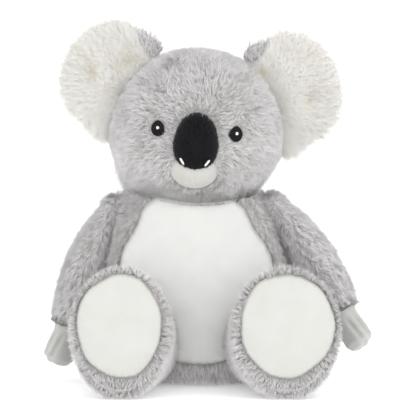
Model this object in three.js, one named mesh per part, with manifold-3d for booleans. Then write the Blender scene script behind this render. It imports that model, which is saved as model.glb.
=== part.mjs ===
// A sitting plush koala, 0.36 m tall: plush skins sewn round fibre fill, with separate panels,
// pads and stitched features. Millimetres, +Z up, the toy faces -Y and sits on z = 0.
import * as THREE from 'three';
import { mergeVertices } from 'three/addons/utils/BufferGeometryUtils.js';
import Module from 'manifold-3d';

const wasm = await Module();
wasm.setup();

// Cloth, gaps and places that every piece shares
const furSkin = 6.5; // backing cloth with its dense lower pile
const smoothSkin = 3; // short-pile cloth of the belly, the soles and the paws
const seamGap = 0.3; // between two pieces that touch
const seatGap = 0.6; // between a ball of stuffing and the seam that it turns in
const seamBand = 2.4; // thickness of a rolled seam allowance
const toolOverrun = 60; // how far every cutting shape runs past what it cuts

// Torso: a pear that is widest low down and flat where it sits
const torsoAside = -6;
const torsoLeanAside = -10; // the top of the torso lies this far aside from its seat
const torsoCentreY = 44;
const torsoHeight = 214;
const torsoWidth = 200;
const torsoFront = 79;
const torsoBack = 70;
// Each row: height, half width, front depth, back depth, as shares of the four sizes above
const torsoShares = [
  [0, 0.72, 0.64, 0.76],
  [0.05, 0.85, 0.78, 0.87],
  [0.12, 0.94, 0.89, 0.94],
  [0.22, 0.99, 0.97, 0.98],
  [0.34, 1, 1, 1],
  [0.46, 0.985, 0.98, 0.99],
  [0.58, 0.97, 0.94, 0.96],
  [0.69, 0.95, 0.88, 0.92],
  [0.79, 0.91, 0.83, 0.86],
  [0.87, 0.84, 0.79, 0.79],
  [0.94, 0.7, 0.68, 0.66],
  [0.985, 0.42, 0.42, 0.4],
];
// Half outline of the belly panel, from its lowest point up: half width and height shares of the torso
const bellyShares = [
  [0.15, 0.098], [0.36, 0.13], [0.55, 0.187], [0.72, 0.28], [0.8, 0.42], [0.79, 0.57],
  [0.75, 0.645], [0.69, 0.69], [0.62, 0.738], [0.57, 0.785], [0.53, 0.84], [0.44, 0.88], [0.2, 0.97],
];
const bellyRecess = 3; // the belly cloth lies this much below the tips of the fur round it

// Head: an egg lying on its side, whose underside is part of a ball that turns in the neck
const headBallRadius = 93.5;
const headAside = -10;
const headPivotY = 32;
const headPivotAbove = 57; // above the top of the torso
const headRise = 15; // from the middle of the head up to the centre of its ball
const headHalfWidth = 86;
const headHalfDepth = 76;
const headTop = 79;
const jawBlend = 35; // height over which the cheeks run into the ball
const headRoll = 4.3; // degrees, the head leans towards the koala's left
const neckOpening = 24;
const neckSeamInner = 28;
const neckSeamOuter = 38;

// Nose, muzzle, eyes and stitches, from the middle of the head
const noseWidth = 46;
const noseHeight = 57;
const noseDepth = 38;
const noseForward = 77;
const noseBelow = 10;
const noseTopNarrowingShare = 0.1;
const nostrilLength = 8;
const nostrilWidth = 1.8;
const nostrilAside = 12.5;
const nostrilBelow = 26;
const nostrilTilt = 34; // degrees
const stitchRise = 1;
const muzzleWidth = 50;
const muzzleHeight = 44;
const muzzleDepth = 44;
const muzzleForward = 62;
const muzzleBelow = 34;
const eyeWidth = 12.8;
const eyeHeight = 15.6;
const eyeAside = 38.8;
const eyeAbove = 1.5;
const eyeRise = 1.8;
const eyeGap = 0.8; // between the eye and the head under it, whose facets stand out in between
const glintSize = 3;
const glintAside = 0.4;
const glintAbove = 0.5;

// Ears: a white front and a grey back, sewn together and gathered into a fold of the head
const earReach = 91;
const earHeight = 112;
const earCentreOut = 36;
const earCentreUp = 15;
const earHalfThickness = 9;
const earCup = 7;
const earTaperLength = 31;
const earRootShare = 0.05; // how much of its thickness an ear keeps at its root
const earRootGap = 2;
const earRootAside = 67.3;
const earRootAbove = 18;
const earRootBehind = 6;
const earLean = 26.3; // degrees, the root runs up and inwards
const earFoldHalfAngle = 57; // degrees, half the opening of the fold that holds the ear
const earRingShares = [0.3, 0.58, 0.8, 0.94, 1];
const earLowerCornerShare = 0.42; // how much further the ear reaches at its lower inner corner
const earBackCornerShare = 0.17; // the same for its back alone at the upper inner corner

// Arms: each hangs from a ball that turns in the shoulder seam, beside a flat flank of the torso
const shoulderAside = 67;
const shoulderY = 32;
const shoulderBelow = 44; // below the top of the torso
const flankLeans = { left: 17.5, right: 28 }; // degrees, each flank leans out towards the floor
const flankFlares = { left: 22, right: 14 }; // degrees, each flank opens out towards the front
const armBallRadius = 18;
const armBallOut = 13; // centre of the ball, outwards from the flank
const armForwards = { left: 8, right: 18 }; // degrees, how far each arm hangs forwards
const sleeveLength = 128;
const pawLength = 42;
const shoulderSeamInner = 5;
const shoulderSeamOuter = 9.5;
// Each row: length down the sleeve, outer reach, inner reach, half depth, as shares of the
// sleeve's length, the ball's radius, the ball's distance from the flank and the ball's radius
const sleeveShares = [
  [0.0625, 1, -1.21, 1],
  [0.125, 1.2, -0.975, 1.12],
  [0.27, 1.5, -0.97, 1.32],
  [0.49, 1.75, -0.97, 1.46],
  [0.71, 1.72, -0.95, 1.46],
  [0.89, 1.56, -0.85, 1.36],
  [1, 1.42, -0.735, 1.26],
];
const pawShares = [
  [0, 1.16, -0.42, 1.01],
  [0.16, 1.1, -0.4, 0.98],
  [0.37, 1.14, -0.54, 1.12],
  [0.63, 1.18, -0.6, 1.2],
  [0.86, 1.06, -0.45, 1.06],
  [0.965, 0.7, -0.05, 0.58],
];

// Legs: thick forelegs of the sitting toy, from the hip crease forwards to an upright round sole
const legLength = 120;
const legBackY = 8;
const hipAside = 61;
const footAsides = { left: 80.5, right: 83.5 };
const footWidths = { left: 101, right: 108 };
const footHeight = 131;
const legEndDome = 3; // how far the stuffing rounds out both ends
const footPress = 0.6; // how far the round leg is pressed flat on the floor
const soleWidths = { left: 85, right: 94 };
const soleHeight = 104;
const soleAbove = 6.5; // the sole's centre lies above the foot's centre
const soleDome = 5;
const soleInset = 3; // the edge of the sole lies behind the tips of the fur
const soleRingShares = [1, 0.8, 0.5, 0.2];
// Each row: way forwards, half width, half height, as shares of the leg's length and the foot's sizes
const legShares = [
  [0, 0.6, 0.5],
  [0.05, 0.74, 0.62],
  [0.18, 0.84, 0.7],
  [0.4, 0.86, 0.73],
  [0.62, 0.88, 0.79],
  [0.78, 0.94, 0.9],
  [0.88, 0.99, 0.98],
  [0.94, 1, 1],
  [0.985, 0.97, 0.98],
  [1, 0.9, 0.92],
];

// Steps round each form; a fill has the coarser ones of the inside of its skin
const fine = 22;
const coarse = 14;
const ballSteps = 40;
const padSteps = 18;
const faceSteps = 44;
const stitchSteps = 7;
const cleanCut = 0.005; // edges shorter than this are closed up after a cut

const palette = {
  greyFur: { color: 0xbebcbc, roughness: 0.95 },
  whiteFur: { color: 0xebebe6, roughness: 0.95 },
  whiteVelour: { color: 0xf0f0ec, roughness: 0.9 },
  greyVelour: { color: 0xb9beb8, roughness: 0.9 },
  blackPlush: { color: 0x161618, roughness: 0.85 },
  muzzleVelour: { color: 0xdedcd6, roughness: 0.9 },
  blackThread: { color: 0x101010, roughness: 0.4 },
  whiteThread: { color: 0xf4f4f2, roughness: 0.45 },
  seamCloth: { color: 0x8f8c8a, roughness: 0.95 },
  fibre: { color: 0xf8f8f8, roughness: 1 },
};

const degrees = THREE.MathUtils.degToRad;
const sides = [[-1, 'left'], [1, 'right']]; // as seen from the front

// Turning a closed BufferGeometry into a solid and back
function solidOf(geometry) {
  const bare = geometry.clone();
  bare.deleteAttribute('normal');
  bare.deleteAttribute('uv');
  const merged = mergeVertices(bare);
  return new wasm.Manifold(new wasm.Mesh({
    numProp: 3,
    vertProperties: new Float32Array(merged.attributes.position.array),
    triVerts: new Uint32Array(merged.index.array),
  }));
}

// The largest body that a cut leaves, without its scraps
function mainBody(solid) {
  const bodies = solid.decompose();
  return bodies.reduce((best, body) => (body.volume() > best.volume() ? body : best));
}

// A cut solid as a geometry, with corners closer than the clean-cut length drawn together
function geometryOf(solid) {
  const mesh = mainBody(solid).getMesh();
  const rough = new THREE.BufferGeometry();
  const snap = (value) => Math.round(value / cleanCut) * cleanCut;
  const snapped = Float32Array.from(mesh.vertProperties, snap);
  rough.setAttribute('position', new THREE.BufferAttribute(snapped, 3));
  rough.setIndex(new THREE.BufferAttribute(new Uint32Array(mesh.triVerts), 1));
  const geometry = mergeVertices(rough, cleanCut / 2);
  const corners = geometry.index.array;
  const kept = [];
  for (let i = 0; i < corners.length; i += 3) {
    const [a, b, c] = corners.subarray(i, i + 3);
    if (a !== b && b !== c && c !== a) {
      kept.push(a, b, c);
    }
  }
  geometry.setIndex(kept);
  geometry.computeVertexNormals();
  return geometry;
}

// Six times the enclosed volume: its sign tells which way the faces look
function signedVolume(points, index) {
  const cross = new THREE.Vector3();
  let sum = 0;
  for (let i = 0; i < index.length; i += 3) {
    cross.crossVectors(points[index[i + 1]], points[index[i + 2]]);
    sum += points[index[i]].dot(cross);
  }
  return sum;
}

// A closed skin through rings of points, ended by a pole at each end
function ringGeometry(rings, firstPole, lastPole) {
  const points = [...rings.flat(), firstPole, lastPole];
  const around = rings[0].length;
  const first = rings.length * around;
  const last = first + 1;
  const index = [];
  for (let j = 0; j < around; j += 1) {
    const k = (j + 1) % around;
    index.push(first, k, j);
    for (let i = 0; i + 1 < rings.length; i += 1) {
      const low = i * around;
      const high = low + around;
      index.push(low + j, low + k, high + k, low + j, high + k, high + j);
    }
    index.push(last, first - around + j, first - around + k);
  }
  if (signedVolume(points, index) < 0) {
    index.reverse();
  }
  const geometry = new THREE.BufferGeometry().setFromPoints(points);
  geometry.setIndex(index);
  geometry.computeVertexNormals();
  return geometry;
}

// The same form, moved in or out along its own normals
function offsetForm(geometry, distance) {
  const moved = geometry.clone();
  const position = moved.attributes.position;
  const normal = moved.attributes.normal;
  for (let i = 0; i < position.count; i += 1) {
    position.setXYZ(
      i,
      position.getX(i) + normal.getX(i) * distance,
      position.getY(i) + normal.getY(i) * distance,
      position.getZ(i) + normal.getZ(i) * distance,
    );
  }
  return solidOf(moved);
}

// Points round a ring, none of them on the axes of the form
function ring(steps, pointAt) {
  return Array.from({ length: steps }, (_, j) => pointAt(((j + 1 / 2) / steps) * 2 * Math.PI));
}

function ballSolid(radius, centre, steps = fine) {
  return solidOf(new THREE.SphereGeometry(radius, steps, steps / 2).translate(centre.x, centre.y, centre.z));
}

// A box known by its lowest and highest corners
function boxSolid(low, high) {
  const size = new THREE.Vector3().subVectors(high, low);
  const middle = new THREE.Vector3().addVectors(low, high).divideScalar(2);
  return solidOf(new THREE.BoxGeometry(size.x, size.y, size.z).translate(middle.x, middle.y, middle.z));
}

// An outline in x and z, pushed forwards from fromY by depth
function forwardPrism(outline, fromY, depth) {
  const shape = new THREE.Shape(outline);
  const geometry = new THREE.ExtrudeGeometry(shape, { depth, bevelEnabled: false });
  return solidOf(geometry.rotateX(Math.PI / 2).translate(0, fromY, 0));
}

function ellipseOutline(centreX, centreZ, halfWidth, halfHeight, tilt = 0, steps = fine) {
  return ring(steps, (angle) => {
    const x = halfWidth * Math.cos(angle);
    const z = halfHeight * Math.sin(angle);
    return new THREE.Vector2(
      centreX + x * Math.cos(tilt) - z * Math.sin(tilt),
      centreZ + x * Math.sin(tilt) + z * Math.cos(tilt),
    );
  });
}

// A band of seam allowance on a ball: it hugs the ball from below, between two radii
function seamBandSolid(ballRadius, innerReach, outerReach, steps) {
  const near = ballRadius + seatGap;
  const far = near + seamBand;
  const polar = (reach) => Math.asin(reach / ballRadius);
  const between = (share) => THREE.MathUtils.lerp(polar(innerReach), polar(outerReach), share);
  const angles = [0, 1 / 2, 1].map(between);
  const onArc = (radius) => (angle) => new THREE.Vector2(radius * Math.sin(angle), -radius * Math.cos(angle));
  const profile = [...angles.map(onArc(far)), ...angles.toReversed().map(onArc(near))];
  const closed = [...profile, profile[0]];
  return solidOf(new THREE.LatheGeometry(closed, steps).rotateX(Math.PI / 2));
}

function makeMesh(name, solid, look) {
  const material = new THREE.MeshStandardMaterial({ ...look, metalness: 0 });
  const mesh = new THREE.Mesh(geometryOf(solid), material);
  mesh.name = name;
  return mesh;
}

// Torso
function torsoMiddle(z, lean = torsoLeanAside) {
  return new THREE.Vector3(torsoAside + lean * (z / torsoHeight), torsoCentreY, z);
}

function torsoGeometry(steps, lean = torsoLeanAside) {
  const rings = torsoShares.map(([height, width, front, back]) => ring(steps, (angle) => {
    const depth = Math.sin(angle) < 0 ? torsoFront * front : torsoBack * back;
    return new THREE.Vector3(
      (torsoWidth / 2) * width * Math.cos(angle),
      depth * Math.sin(angle),
      0,
    ).add(torsoMiddle(torsoHeight * height, lean));
  }));
  return ringGeometry(rings, torsoMiddle(0, lean), torsoMiddle(torsoHeight, lean));
}

const headPivot = new THREE.Vector3(headAside, headPivotY, torsoHeight + headPivotAbove);
const neckCup = headBallRadius + seatGap + seamBand + seatGap;

function bellyPrism(spread) {
  const right = bellyShares.map(([width, height]) => [width * torsoWidth / 2, height * torsoHeight]);
  const left = right.toReversed().map(([x, z]) => [-x, z]);
  const points = [...right, ...left].map(([x, z]) => new THREE.Vector2(x, z));
  const middle = new THREE.Vector2(0, torsoHeight / 2);
  const outline = points.map((point) => {
    const out = point.clone().sub(middle);
    const edge = out.setLength(out.length() + spread).add(middle);
    return edge.setX(edge.x + torsoMiddle(edge.y).x);
  });
  return forwardPrism(outline, torsoCentreY, torsoFront + toolOverrun);
}

// What the neighbours take away from the torso, with a margin for the layers inside it
function torsoHollows(margin) {
  const hollows = [ballSolid(neckCup + margin, headPivot, ballSteps)];
  for (const [side, name] of sides) {
    const frame = shoulderFrame(side, name);
    const cup = armBallRadius + seatGap + seamBand + seatGap + margin;
    hollows.push(ballSolid(cup, new THREE.Vector3().setFromMatrixPosition(frame)));
    const flank = boxSolid(
      new THREE.Vector3(-armBallOut - margin, -torsoHeight, -torsoHeight),
      new THREE.Vector3(torsoWidth, torsoHeight, torsoHeight),
    );
    hollows.push(flank.transform(frame.toArray()));
  }
  return hollows;
}

function torsoLayer(depth, hollowMargin, steps) {
  const form = offsetForm(torsoGeometry(steps), -depth);
  return torsoHollows(hollowMargin).reduce((solid, hollow) => solid.subtract(hollow), form);
}

function makeTorso() {
  const group = new THREE.Group();
  const neckHole = solidOf(new THREE.CylinderGeometry(neckOpening, neckOpening, torsoHeight, coarse)
    .rotateX(Math.PI / 2)
    .translate(headPivot.x, headPivot.y, torsoHeight));
  const skinInside = torsoLayer(furSkin, furSkin, coarse);
  const skin = torsoLayer(0, 0, fine)
    .subtract(skinInside)
    .subtract(bellyPrism(seamGap))
    .subtract(neckHole);
  const belly = torsoLayer(bellyRecess, 0, fine)
    .subtract(skinInside)
    .intersect(bellyPrism(0));
  const fill = torsoLayer(furSkin + seamGap, furSkin + seamGap, coarse);
  group.add(
    makeMesh('body_skin', skin, palette.greyFur),
    makeMesh('belly_panel', belly, palette.whiteVelour),
    makeMesh('body_fill', fill, palette.fibre),
  );
  return group;
}

function makeNeckSeam() {
  const seam = seamBandSolid(headBallRadius, neckSeamInner, neckSeamOuter, fine);
  const mesh = makeMesh('neck_seam', seam, palette.seamCloth);
  mesh.position.copy(headPivot);
  return mesh;
}

// Head, about the centre of its ball
function headGeometry(steps) {
  const low = -headBallRadius;
  const high = headTop - headRise;
  const levels = steps / 2;
  const halfAt = (half, level, height) => {
    const round = half * Math.sqrt(Math.max(0, 1 - ((height + headRise) / level) ** 2));
    const ball = Math.sqrt(Math.max(0, headBallRadius ** 2 - height ** 2));
    const share = THREE.MathUtils.smoothstep(-height, headRise, headRise + jawBlend);
    return THREE.MathUtils.lerp(round, ball, share);
  };
  const rings = [];
  for (let i = 1; i < levels; i += 1) {
    const height = (high + low) / 2 - ((high - low) / 2) * Math.cos((i / levels) * Math.PI);
    const level = height > -headRise ? headTop : headBallRadius - headRise;
    rings.push(ring(steps, (angle) => new THREE.Vector3(
      halfAt(headHalfWidth, level, height) * Math.cos(angle),
      halfAt(headHalfDepth, level, height) * Math.sin(angle),
      height,
    )));
  }
  return ringGeometry(rings, new THREE.Vector3(0, 0, low), new THREE.Vector3(0, 0, high));
}

function earFrame(side) {
  const out = new THREE.Vector3(side * Math.cos(degrees(earLean)), 0, Math.sin(degrees(earLean)));
  const up = new THREE.Vector3(-side * Math.sin(degrees(earLean)), 0, Math.cos(degrees(earLean)));
  const through = new THREE.Vector3().crossVectors(out, up);
  const root = new THREE.Vector3(side * earRootAside, earRootBehind, earRootAbove - headRise);
  return new THREE.Matrix4().makeBasis(out, up, through).setPosition(root);
}

// The fold in the head that an ear's root is sewn into, wide enough for the ear to flop
function earFold(side, margin) {
  const reach = headHalfWidth;
  const half = reach * Math.tan(degrees(earFoldHalfAngle));
  const back = -margin / Math.sin(degrees(earFoldHalfAngle));
  const corners = [[back, 0], [reach + back, half], [reach + back, -half]];
  const outline = new THREE.Shape(corners.map(([out, through]) => new THREE.Vector2(out, through)));
  const wedge = new THREE.ExtrudeGeometry(outline, { depth: 2 * reach, bevelEnabled: false });
  wedge.translate(0, 0, -reach).rotateX(Math.PI / 2);
  return solidOf(wedge).transform(earFrame(side).toArray());
}

function headLayer(depth, foldMargin, steps) {
  return offsetForm(headGeometry(steps), -depth)
    .subtract(earFold(-1, foldMargin))
    .subtract(earFold(1, foldMargin));
}

function noseSolid(growth) {
  const geometry = new THREE.SphereGeometry(1, padSteps, coarse);
  const position = geometry.attributes.position;
  for (let i = 0; i < position.count; i += 1) {
    const height = position.getY(i);
    const narrowing = 1 - noseTopNarrowingShare * height;
    position.setXYZ(
      i,
      position.getX(i) * (noseWidth / 2 + growth) * narrowing,
      -position.getZ(i) * (noseDepth / 2 + growth) - noseForward,
      height * (noseHeight / 2 + growth) - noseBelow - headRise,
    );
  }
  return solidOf(geometry);
}

function muzzleSolid() {
  const geometry = new THREE.SphereGeometry(1, padSteps, coarse);
  geometry.scale(muzzleWidth / 2, muzzleDepth / 2, muzzleHeight / 2);
  return solidOf(geometry.translate(0, -muzzleForward, -muzzleBelow - headRise));
}

// A thin pad that follows the front of the head inside an outline
function facePad(outline, from, to) {
  const head = headGeometry(faceSteps);
  return offsetForm(head, to)
    .subtract(offsetForm(head, from))
    .intersect(forwardPrism(outline, 0, headBallRadius + toolOverrun));
}

function makeFace() {
  const group = new THREE.Group();
  const headWithGap = offsetForm(headGeometry(fine), seamGap);
  const nose = noseSolid(0).subtract(headWithGap);
  const muzzle = muzzleSolid().subtract(headWithGap).subtract(noseSolid(seamGap));
  group.add(makeMesh('nose_pad', nose, palette.blackPlush));
  group.add(makeMesh('muzzle', muzzle, palette.muzzleVelour));
  for (const [side, name] of sides) {
    const eyeX = side * eyeAside;
    const eyeZ = eyeAbove - headRise;
    const eyeOutline = ellipseOutline(eyeX, eyeZ, eyeWidth / 2, eyeHeight / 2, 0, coarse);
    const eye = facePad(eyeOutline, eyeGap, eyeRise);
    group.add(makeMesh(`eye_${name}`, eye, palette.blackThread));
    const glintOutline = ellipseOutline(
      eyeX + glintAside, eyeZ + glintAbove, glintSize / 2, glintSize / 2, 0, stitchSteps,
    );
    const glint = facePad(glintOutline, eyeRise + seamGap, eyeRise + seamGap + stitchRise);
    group.add(makeMesh(`eye_glint_${name}`, glint, palette.whiteThread));
    const nostrilOutline = ellipseOutline(
      side * nostrilAside, -nostrilBelow - noseBelow - headRise + nostrilLength,
      nostrilWidth / 2, nostrilLength / 2, -side * degrees(nostrilTilt), stitchSteps,
    );
    const nostril = noseSolid(seamGap + stitchRise)
      .subtract(noseSolid(seamGap))
      .intersect(forwardPrism(nostrilOutline, -noseForward, noseDepth + toolOverrun));
    group.add(makeMesh(`nostril_stitch_${name}`, nostril, palette.whiteThread));
  }
  return group;
}

// One half of an ear: flat against the other half, domed outwards, thin at its root
function earHalf(facing) {
  const upperCornerShare = facing < 0 ? earBackCornerShare : 0;
  const cornerAt = (angle) => {
    const share = Math.sin(angle) > 0 ? upperCornerShare : earLowerCornerShare;
    return Math.cos(angle) < 0 ? 1 + share * Math.sin(2 * angle) ** 2 : 1;
  };
  const reachAt = (share, angle) => new THREE.Vector2(
    earCentreOut + (earReach / 2) * share * Math.cos(angle) * cornerAt(angle),
    earCentreUp + (earHeight / 2) * share * Math.sin(angle) * cornerAt(angle),
  );
  const taperAt = (out) => THREE.MathUtils.clamp(earRootShare + out / earTaperLength, earRootShare, 1);
  const layerPoint = (share, angle, domed) => {
    const at = reachAt(share, angle);
    const cup = earCup * (Math.max(0, at.x) / earReach) ** 2;
    const dome = domed ? earHalfThickness * Math.sqrt(1 - share ** 2) * taperAt(at.x) : 0;
    return [at, cup, dome];
  };
  const placed = (share, angle, domed) => {
    const [at, cup, dome] = layerPoint(share, angle, domed);
    return new THREE.Vector3(at.x, at.y, Math.abs(facing) * cup + facing * (seamGap / 2 + dome));
  };
  const domedRings = earRingShares.map((share) => ring(fine, (angle) => placed(share, angle, true)));
  const flatShares = earRingShares.toReversed().slice(1);
  const flatRings = flatShares.map((share) => ring(fine, (angle) => placed(share, angle, false)));
  const geometry = ringGeometry([...domedRings, ...flatRings], placed(0, 0, true), placed(0, 0, false));
  const rootCut = boxSolid(
    new THREE.Vector3(-earReach, -earHeight, -earReach),
    new THREE.Vector3(earRootGap, earHeight, earReach),
  );
  return solidOf(geometry).subtract(rootCut);
}

function makeEar(side, name) {
  const group = new THREE.Group();
  earFrame(side).decompose(group.position, group.quaternion, group.scale);
  // The right ear's third axis looks forwards and the left one's backwards
  const turned = side > 0 ? new THREE.Matrix4() : new THREE.Matrix4().makeScale(1, 1, -1);
  const front = earHalf(1).transform(turned.toArray());
  const back = earHalf(-1).transform(turned.toArray());
  group.add(makeMesh(`ear_front_${name}`, front, palette.whiteFur));
  group.add(makeMesh(`ear_back_${name}`, back, palette.greyFur));
  return group;
}

function makeHead() {
  const group = new THREE.Group();
  group.position.copy(headPivot);
  group.rotation.y = degrees(headRoll);
  const neckHole = solidOf(new THREE.CylinderGeometry(neckOpening, neckOpening, headBallRadius, coarse)
    .rotateX(Math.PI / 2)
    .translate(0, 0, -headBallRadius));
  const skin = headLayer(0, 0, fine)
    .subtract(headLayer(furSkin, furSkin, coarse))
    .subtract(neckHole);
  const fill = headLayer(furSkin + seamGap, furSkin + seamGap, coarse);
  group.add(makeMesh('head_skin', skin, palette.greyFur));
  group.add(makeMesh('head_fill', fill, palette.fibre));
  group.add(makeFace());
  for (const [side, name] of sides) {
    group.add(makeEar(side, name));
  }
  return group;
}

// Centre of an arm's ball, with x outwards from the flank and z up along it
function shoulderFrame(side, name) {
  const lean = degrees(flankLeans[name]);
  const flare = degrees(flankFlares[name]);
  const outwards = new THREE.Vector3(
    side * Math.cos(lean) * Math.cos(flare),
    Math.cos(lean) * Math.sin(flare),
    Math.sin(lean),
  );
  const upwards = new THREE.Vector3(0, 0, 1).addScaledVector(outwards, -outwards.z).normalize();
  const across = new THREE.Vector3().crossVectors(upwards, outwards);
  const shoulderZ = torsoHeight - shoulderBelow;
  const onFlank = new THREE.Vector3(torsoMiddle(shoulderZ).x + side * shoulderAside, shoulderY, shoulderZ);
  const centre = onFlank.addScaledVector(outwards, armBallOut);
  return new THREE.Matrix4().makeBasis(outwards, across, upwards).setPosition(centre);
}

function sleeveRings(shares, length, from, steps, inset = 0) {
  return shares.map(([along, outer, inner, depth]) => {
    const [outwards, inwards] = [armBallRadius * outer, armBallOut * inner];
    return ring(steps, (angle) => new THREE.Vector3(
      (outwards + inwards) / 2 + ((outwards - inwards) / 2 - inset) * Math.cos(angle),
      (armBallRadius * depth - inset) * Math.sin(angle),
      -from - length * along,
    ));
  });
}

function sleeveGeometry(steps, inset = 0) {
  const ball = armBallRadius - inset;
  const dome = [1 / 6, 1 / 3, 1 / 2].map((share) => {
    const reach = ball * Math.sin(share * Math.PI);
    const height = ball * Math.cos(share * Math.PI);
    const at = (angle) => new THREE.Vector3(reach * Math.cos(angle), reach * Math.sin(angle), height);
    return ring(steps, at);
  });
  const rings = [...dome, ...sleeveRings(sleeveShares, sleeveLength, 0, steps, inset)];
  return ringGeometry(rings, new THREE.Vector3(0, 0, ball), new THREE.Vector3(0, 0, -sleeveLength));
}

function pawGeometry(steps) {
  const rings = sleeveRings(pawShares, pawLength, sleeveLength, steps);
  const wrist = new THREE.Vector3(0, 0, -sleeveLength);
  const tip = new THREE.Vector3(0, 0, -sleeveLength - pawLength);
  return ringGeometry(rings, wrist, tip);
}

function makeArm(side, name) {
  const group = new THREE.Group();
  shoulderFrame(side, name).decompose(group.position, group.quaternion, group.scale);
  const seam = seamBandSolid(armBallRadius, shoulderSeamInner, shoulderSeamOuter, coarse)
    .transform(new THREE.Matrix4().makeRotationY(Math.PI / 2).toArray());
  group.add(makeMesh(`shoulder_seam_${name}`, seam, palette.seamCloth));

  const arm = new THREE.Group();
  // Across points back on the right and forwards on the left
  arm.rotation.x = -side * degrees(armForwards[name]);
  const cuff = (from) => boxSolid(
    new THREE.Vector3(-sleeveLength, -sleeveLength, -sleeveLength - pawLength - toolOverrun),
    new THREE.Vector3(sleeveLength, sleeveLength, -sleeveLength + from),
  );
  const hole = new THREE.CylinderGeometry(shoulderSeamInner, shoulderSeamInner, armBallRadius, coarse);
  const shoulderHole = solidOf(hole.rotateZ(Math.PI / 2).translate(-armBallRadius, 0, 0));
  const inside = sleeveInside(furSkin);
  const skin = solidOf(sleeveGeometry(fine)).subtract(inside).subtract(shoulderHole);
  const pawInside = offsetForm(pawGeometry(coarse), -smoothSkin);
  const pawDepth = smoothSkin + seamGap;
  const pawMouth = pawInside.intersect(cuff(-pawDepth)).translate([0, 0, pawDepth]);
  const paw = solidOf(pawGeometry(coarse))
    .intersect(cuff(-seamGap))
    .subtract(pawInside)
    .subtract(pawMouth);
  const fill = sleeveInside(furSkin + seamGap).subtract(cuff(-seamGap));
  const pawFill = offsetForm(pawGeometry(coarse), -smoothSkin - seamGap);
  arm.add(makeMesh(`arm_skin_${name}`, skin, palette.greyFur));
  arm.add(makeMesh(`paw_${name}`, paw, palette.greyVelour));
  arm.add(makeMesh(`arm_fill_${name}`, fill.add(pawFill), palette.fibre));
  group.add(arm);
  return group;
}

// The space inside a sleeve, open through the cuff
function sleeveInside(depth) {
  const body = solidOf(sleeveGeometry(coarse, depth));
  const [, outer, inner, halfDepth] = sleeveShares[sleeveShares.length - 1];
  const [outwards, inwards] = [armBallRadius * outer, armBallOut * inner];
  const mouth = new THREE.CylinderGeometry(1, 1, 2 * depth, coarse).rotateX(Math.PI / 2);
  mouth.scale((outwards - inwards) / 2 - depth, armBallRadius * halfDepth - depth, 1);
  mouth.translate((outwards + inwards) / 2, 0, -sleeveLength);
  return body.add(solidOf(mouth));
}

// Leg, sole and their fill. An inner layer is the same leg with less length, width and height.
function legGeometry(name, steps, inset) {
  const footAside = footAsides[name];
  const backY = legBackY - inset;
  const length = legLength - 2 * inset;
  const rings = legShares.map(([along, width, height]) => {
    const halfHeight = (footHeight / 2) * height;
    const halfWidth = (footWidths[name] / 2) * width;
    return ring(steps, (angle) => new THREE.Vector3(
      THREE.MathUtils.lerp(hipAside, footAside, along) + (halfWidth - inset) * Math.cos(angle),
      backY - length * along,
      halfHeight - footPress + (halfHeight - inset) * Math.sin(angle),
    ));
  });
  const middleZ = footHeight / 2 - footPress;
  const back = new THREE.Vector3(hipAside, backY + legEndDome, middleZ * legShares[0][2]);
  const front = new THREE.Vector3(footAside, backY - length - legEndDome, middleZ);
  return ringGeometry(rings, back, front);
}

function legLayer(name, depth, steps) {
  const floor = boxSolid(
    new THREE.Vector3(-toolOverrun, legBackY - legLength - toolOverrun, -toolOverrun),
    new THREE.Vector3(torsoWidth, legBackY + toolOverrun, depth),
  );
  return solidOf(legGeometry(name, steps, depth)).subtract(floor);
}

// The domed sole panel
function soleSolid(name) {
  const footAside = footAsides[name];
  const soleZ = footHeight / 2 - footPress + soleAbove;
  const edgeY = legBackY - legLength + soleInset;
  const at = (share, y) => ring(fine, (angle) => new THREE.Vector3(
    footAside + (soleWidths[name] / 2) * share * Math.cos(angle),
    y,
    soleZ + (soleHeight / 2) * share * Math.sin(angle),
  ));
  const domed = soleRingShares.map((share) => at(share, edgeY - soleDome * (1 - share ** 2)));
  const back = new THREE.Vector3(footAside, edgeY + smoothSkin, soleZ);
  const front = new THREE.Vector3(footAside, edgeY - soleDome, soleZ);
  return solidOf(ringGeometry([at(1, back.y), ...domed], back, front));
}

// The pieces of a leg as if it were the right one, with x from the middle of the torso
function legSolids(side, name) {
  const footAside = footAsides[name];
  const torso = torsoGeometry(fine, side * torsoLeanAside).translate(-torsoAside, 0, 0);
  const soleZ = footHeight / 2 - footPress + soleAbove;
  const [openWidth, openHeight] = [soleWidths[name] / 2 + seamGap, soleHeight / 2 + seamGap];
  const opening = forwardPrism(
    ellipseOutline(footAside, soleZ, openWidth, openHeight),
    legBackY - legLength + soleInset + smoothSkin + furSkin,
    legLength,
  );
  const soleSpace = forwardPrism(
    ellipseOutline(footAside, footHeight / 2, footWidths[name], footHeight),
    legBackY - legLength + soleInset + smoothSkin + seamGap,
    legLength,
  );
  const skin = legLayer(name, 0, fine)
    .subtract(legLayer(name, furSkin, coarse))
    .subtract(opening)
    .subtract(offsetForm(torso, seamGap));
  const fill = legLayer(name, furSkin + seamGap, coarse)
    .subtract(soleSpace)
    .subtract(offsetForm(torso, furSkin + seamGap));
  return [
    ['leg_skin', skin, palette.greyFur],
    ['sole', soleSolid(name), palette.whiteVelour],
    ['leg_fill', fill, palette.fibre],
  ];
}

function makeLeg(side, name) {
  const group = new THREE.Group();
  group.position.x = torsoAside;
  const mirror = new THREE.Matrix4().makeScale(side, 1, 1).toArray();
  for (const [kind, solid, look] of legSolids(side, name)) {
    group.add(makeMesh(`${kind}_${name}`, solid.transform(mirror), look));
  }
  return group;
}

const koala = new THREE.Group();
koala.add(makeTorso(), makeNeckSeam(), makeHead());
for (const [side, name] of sides) {
  koala.add(makeArm(side, name), makeLeg(side, name));
}

export default koala;
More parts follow.
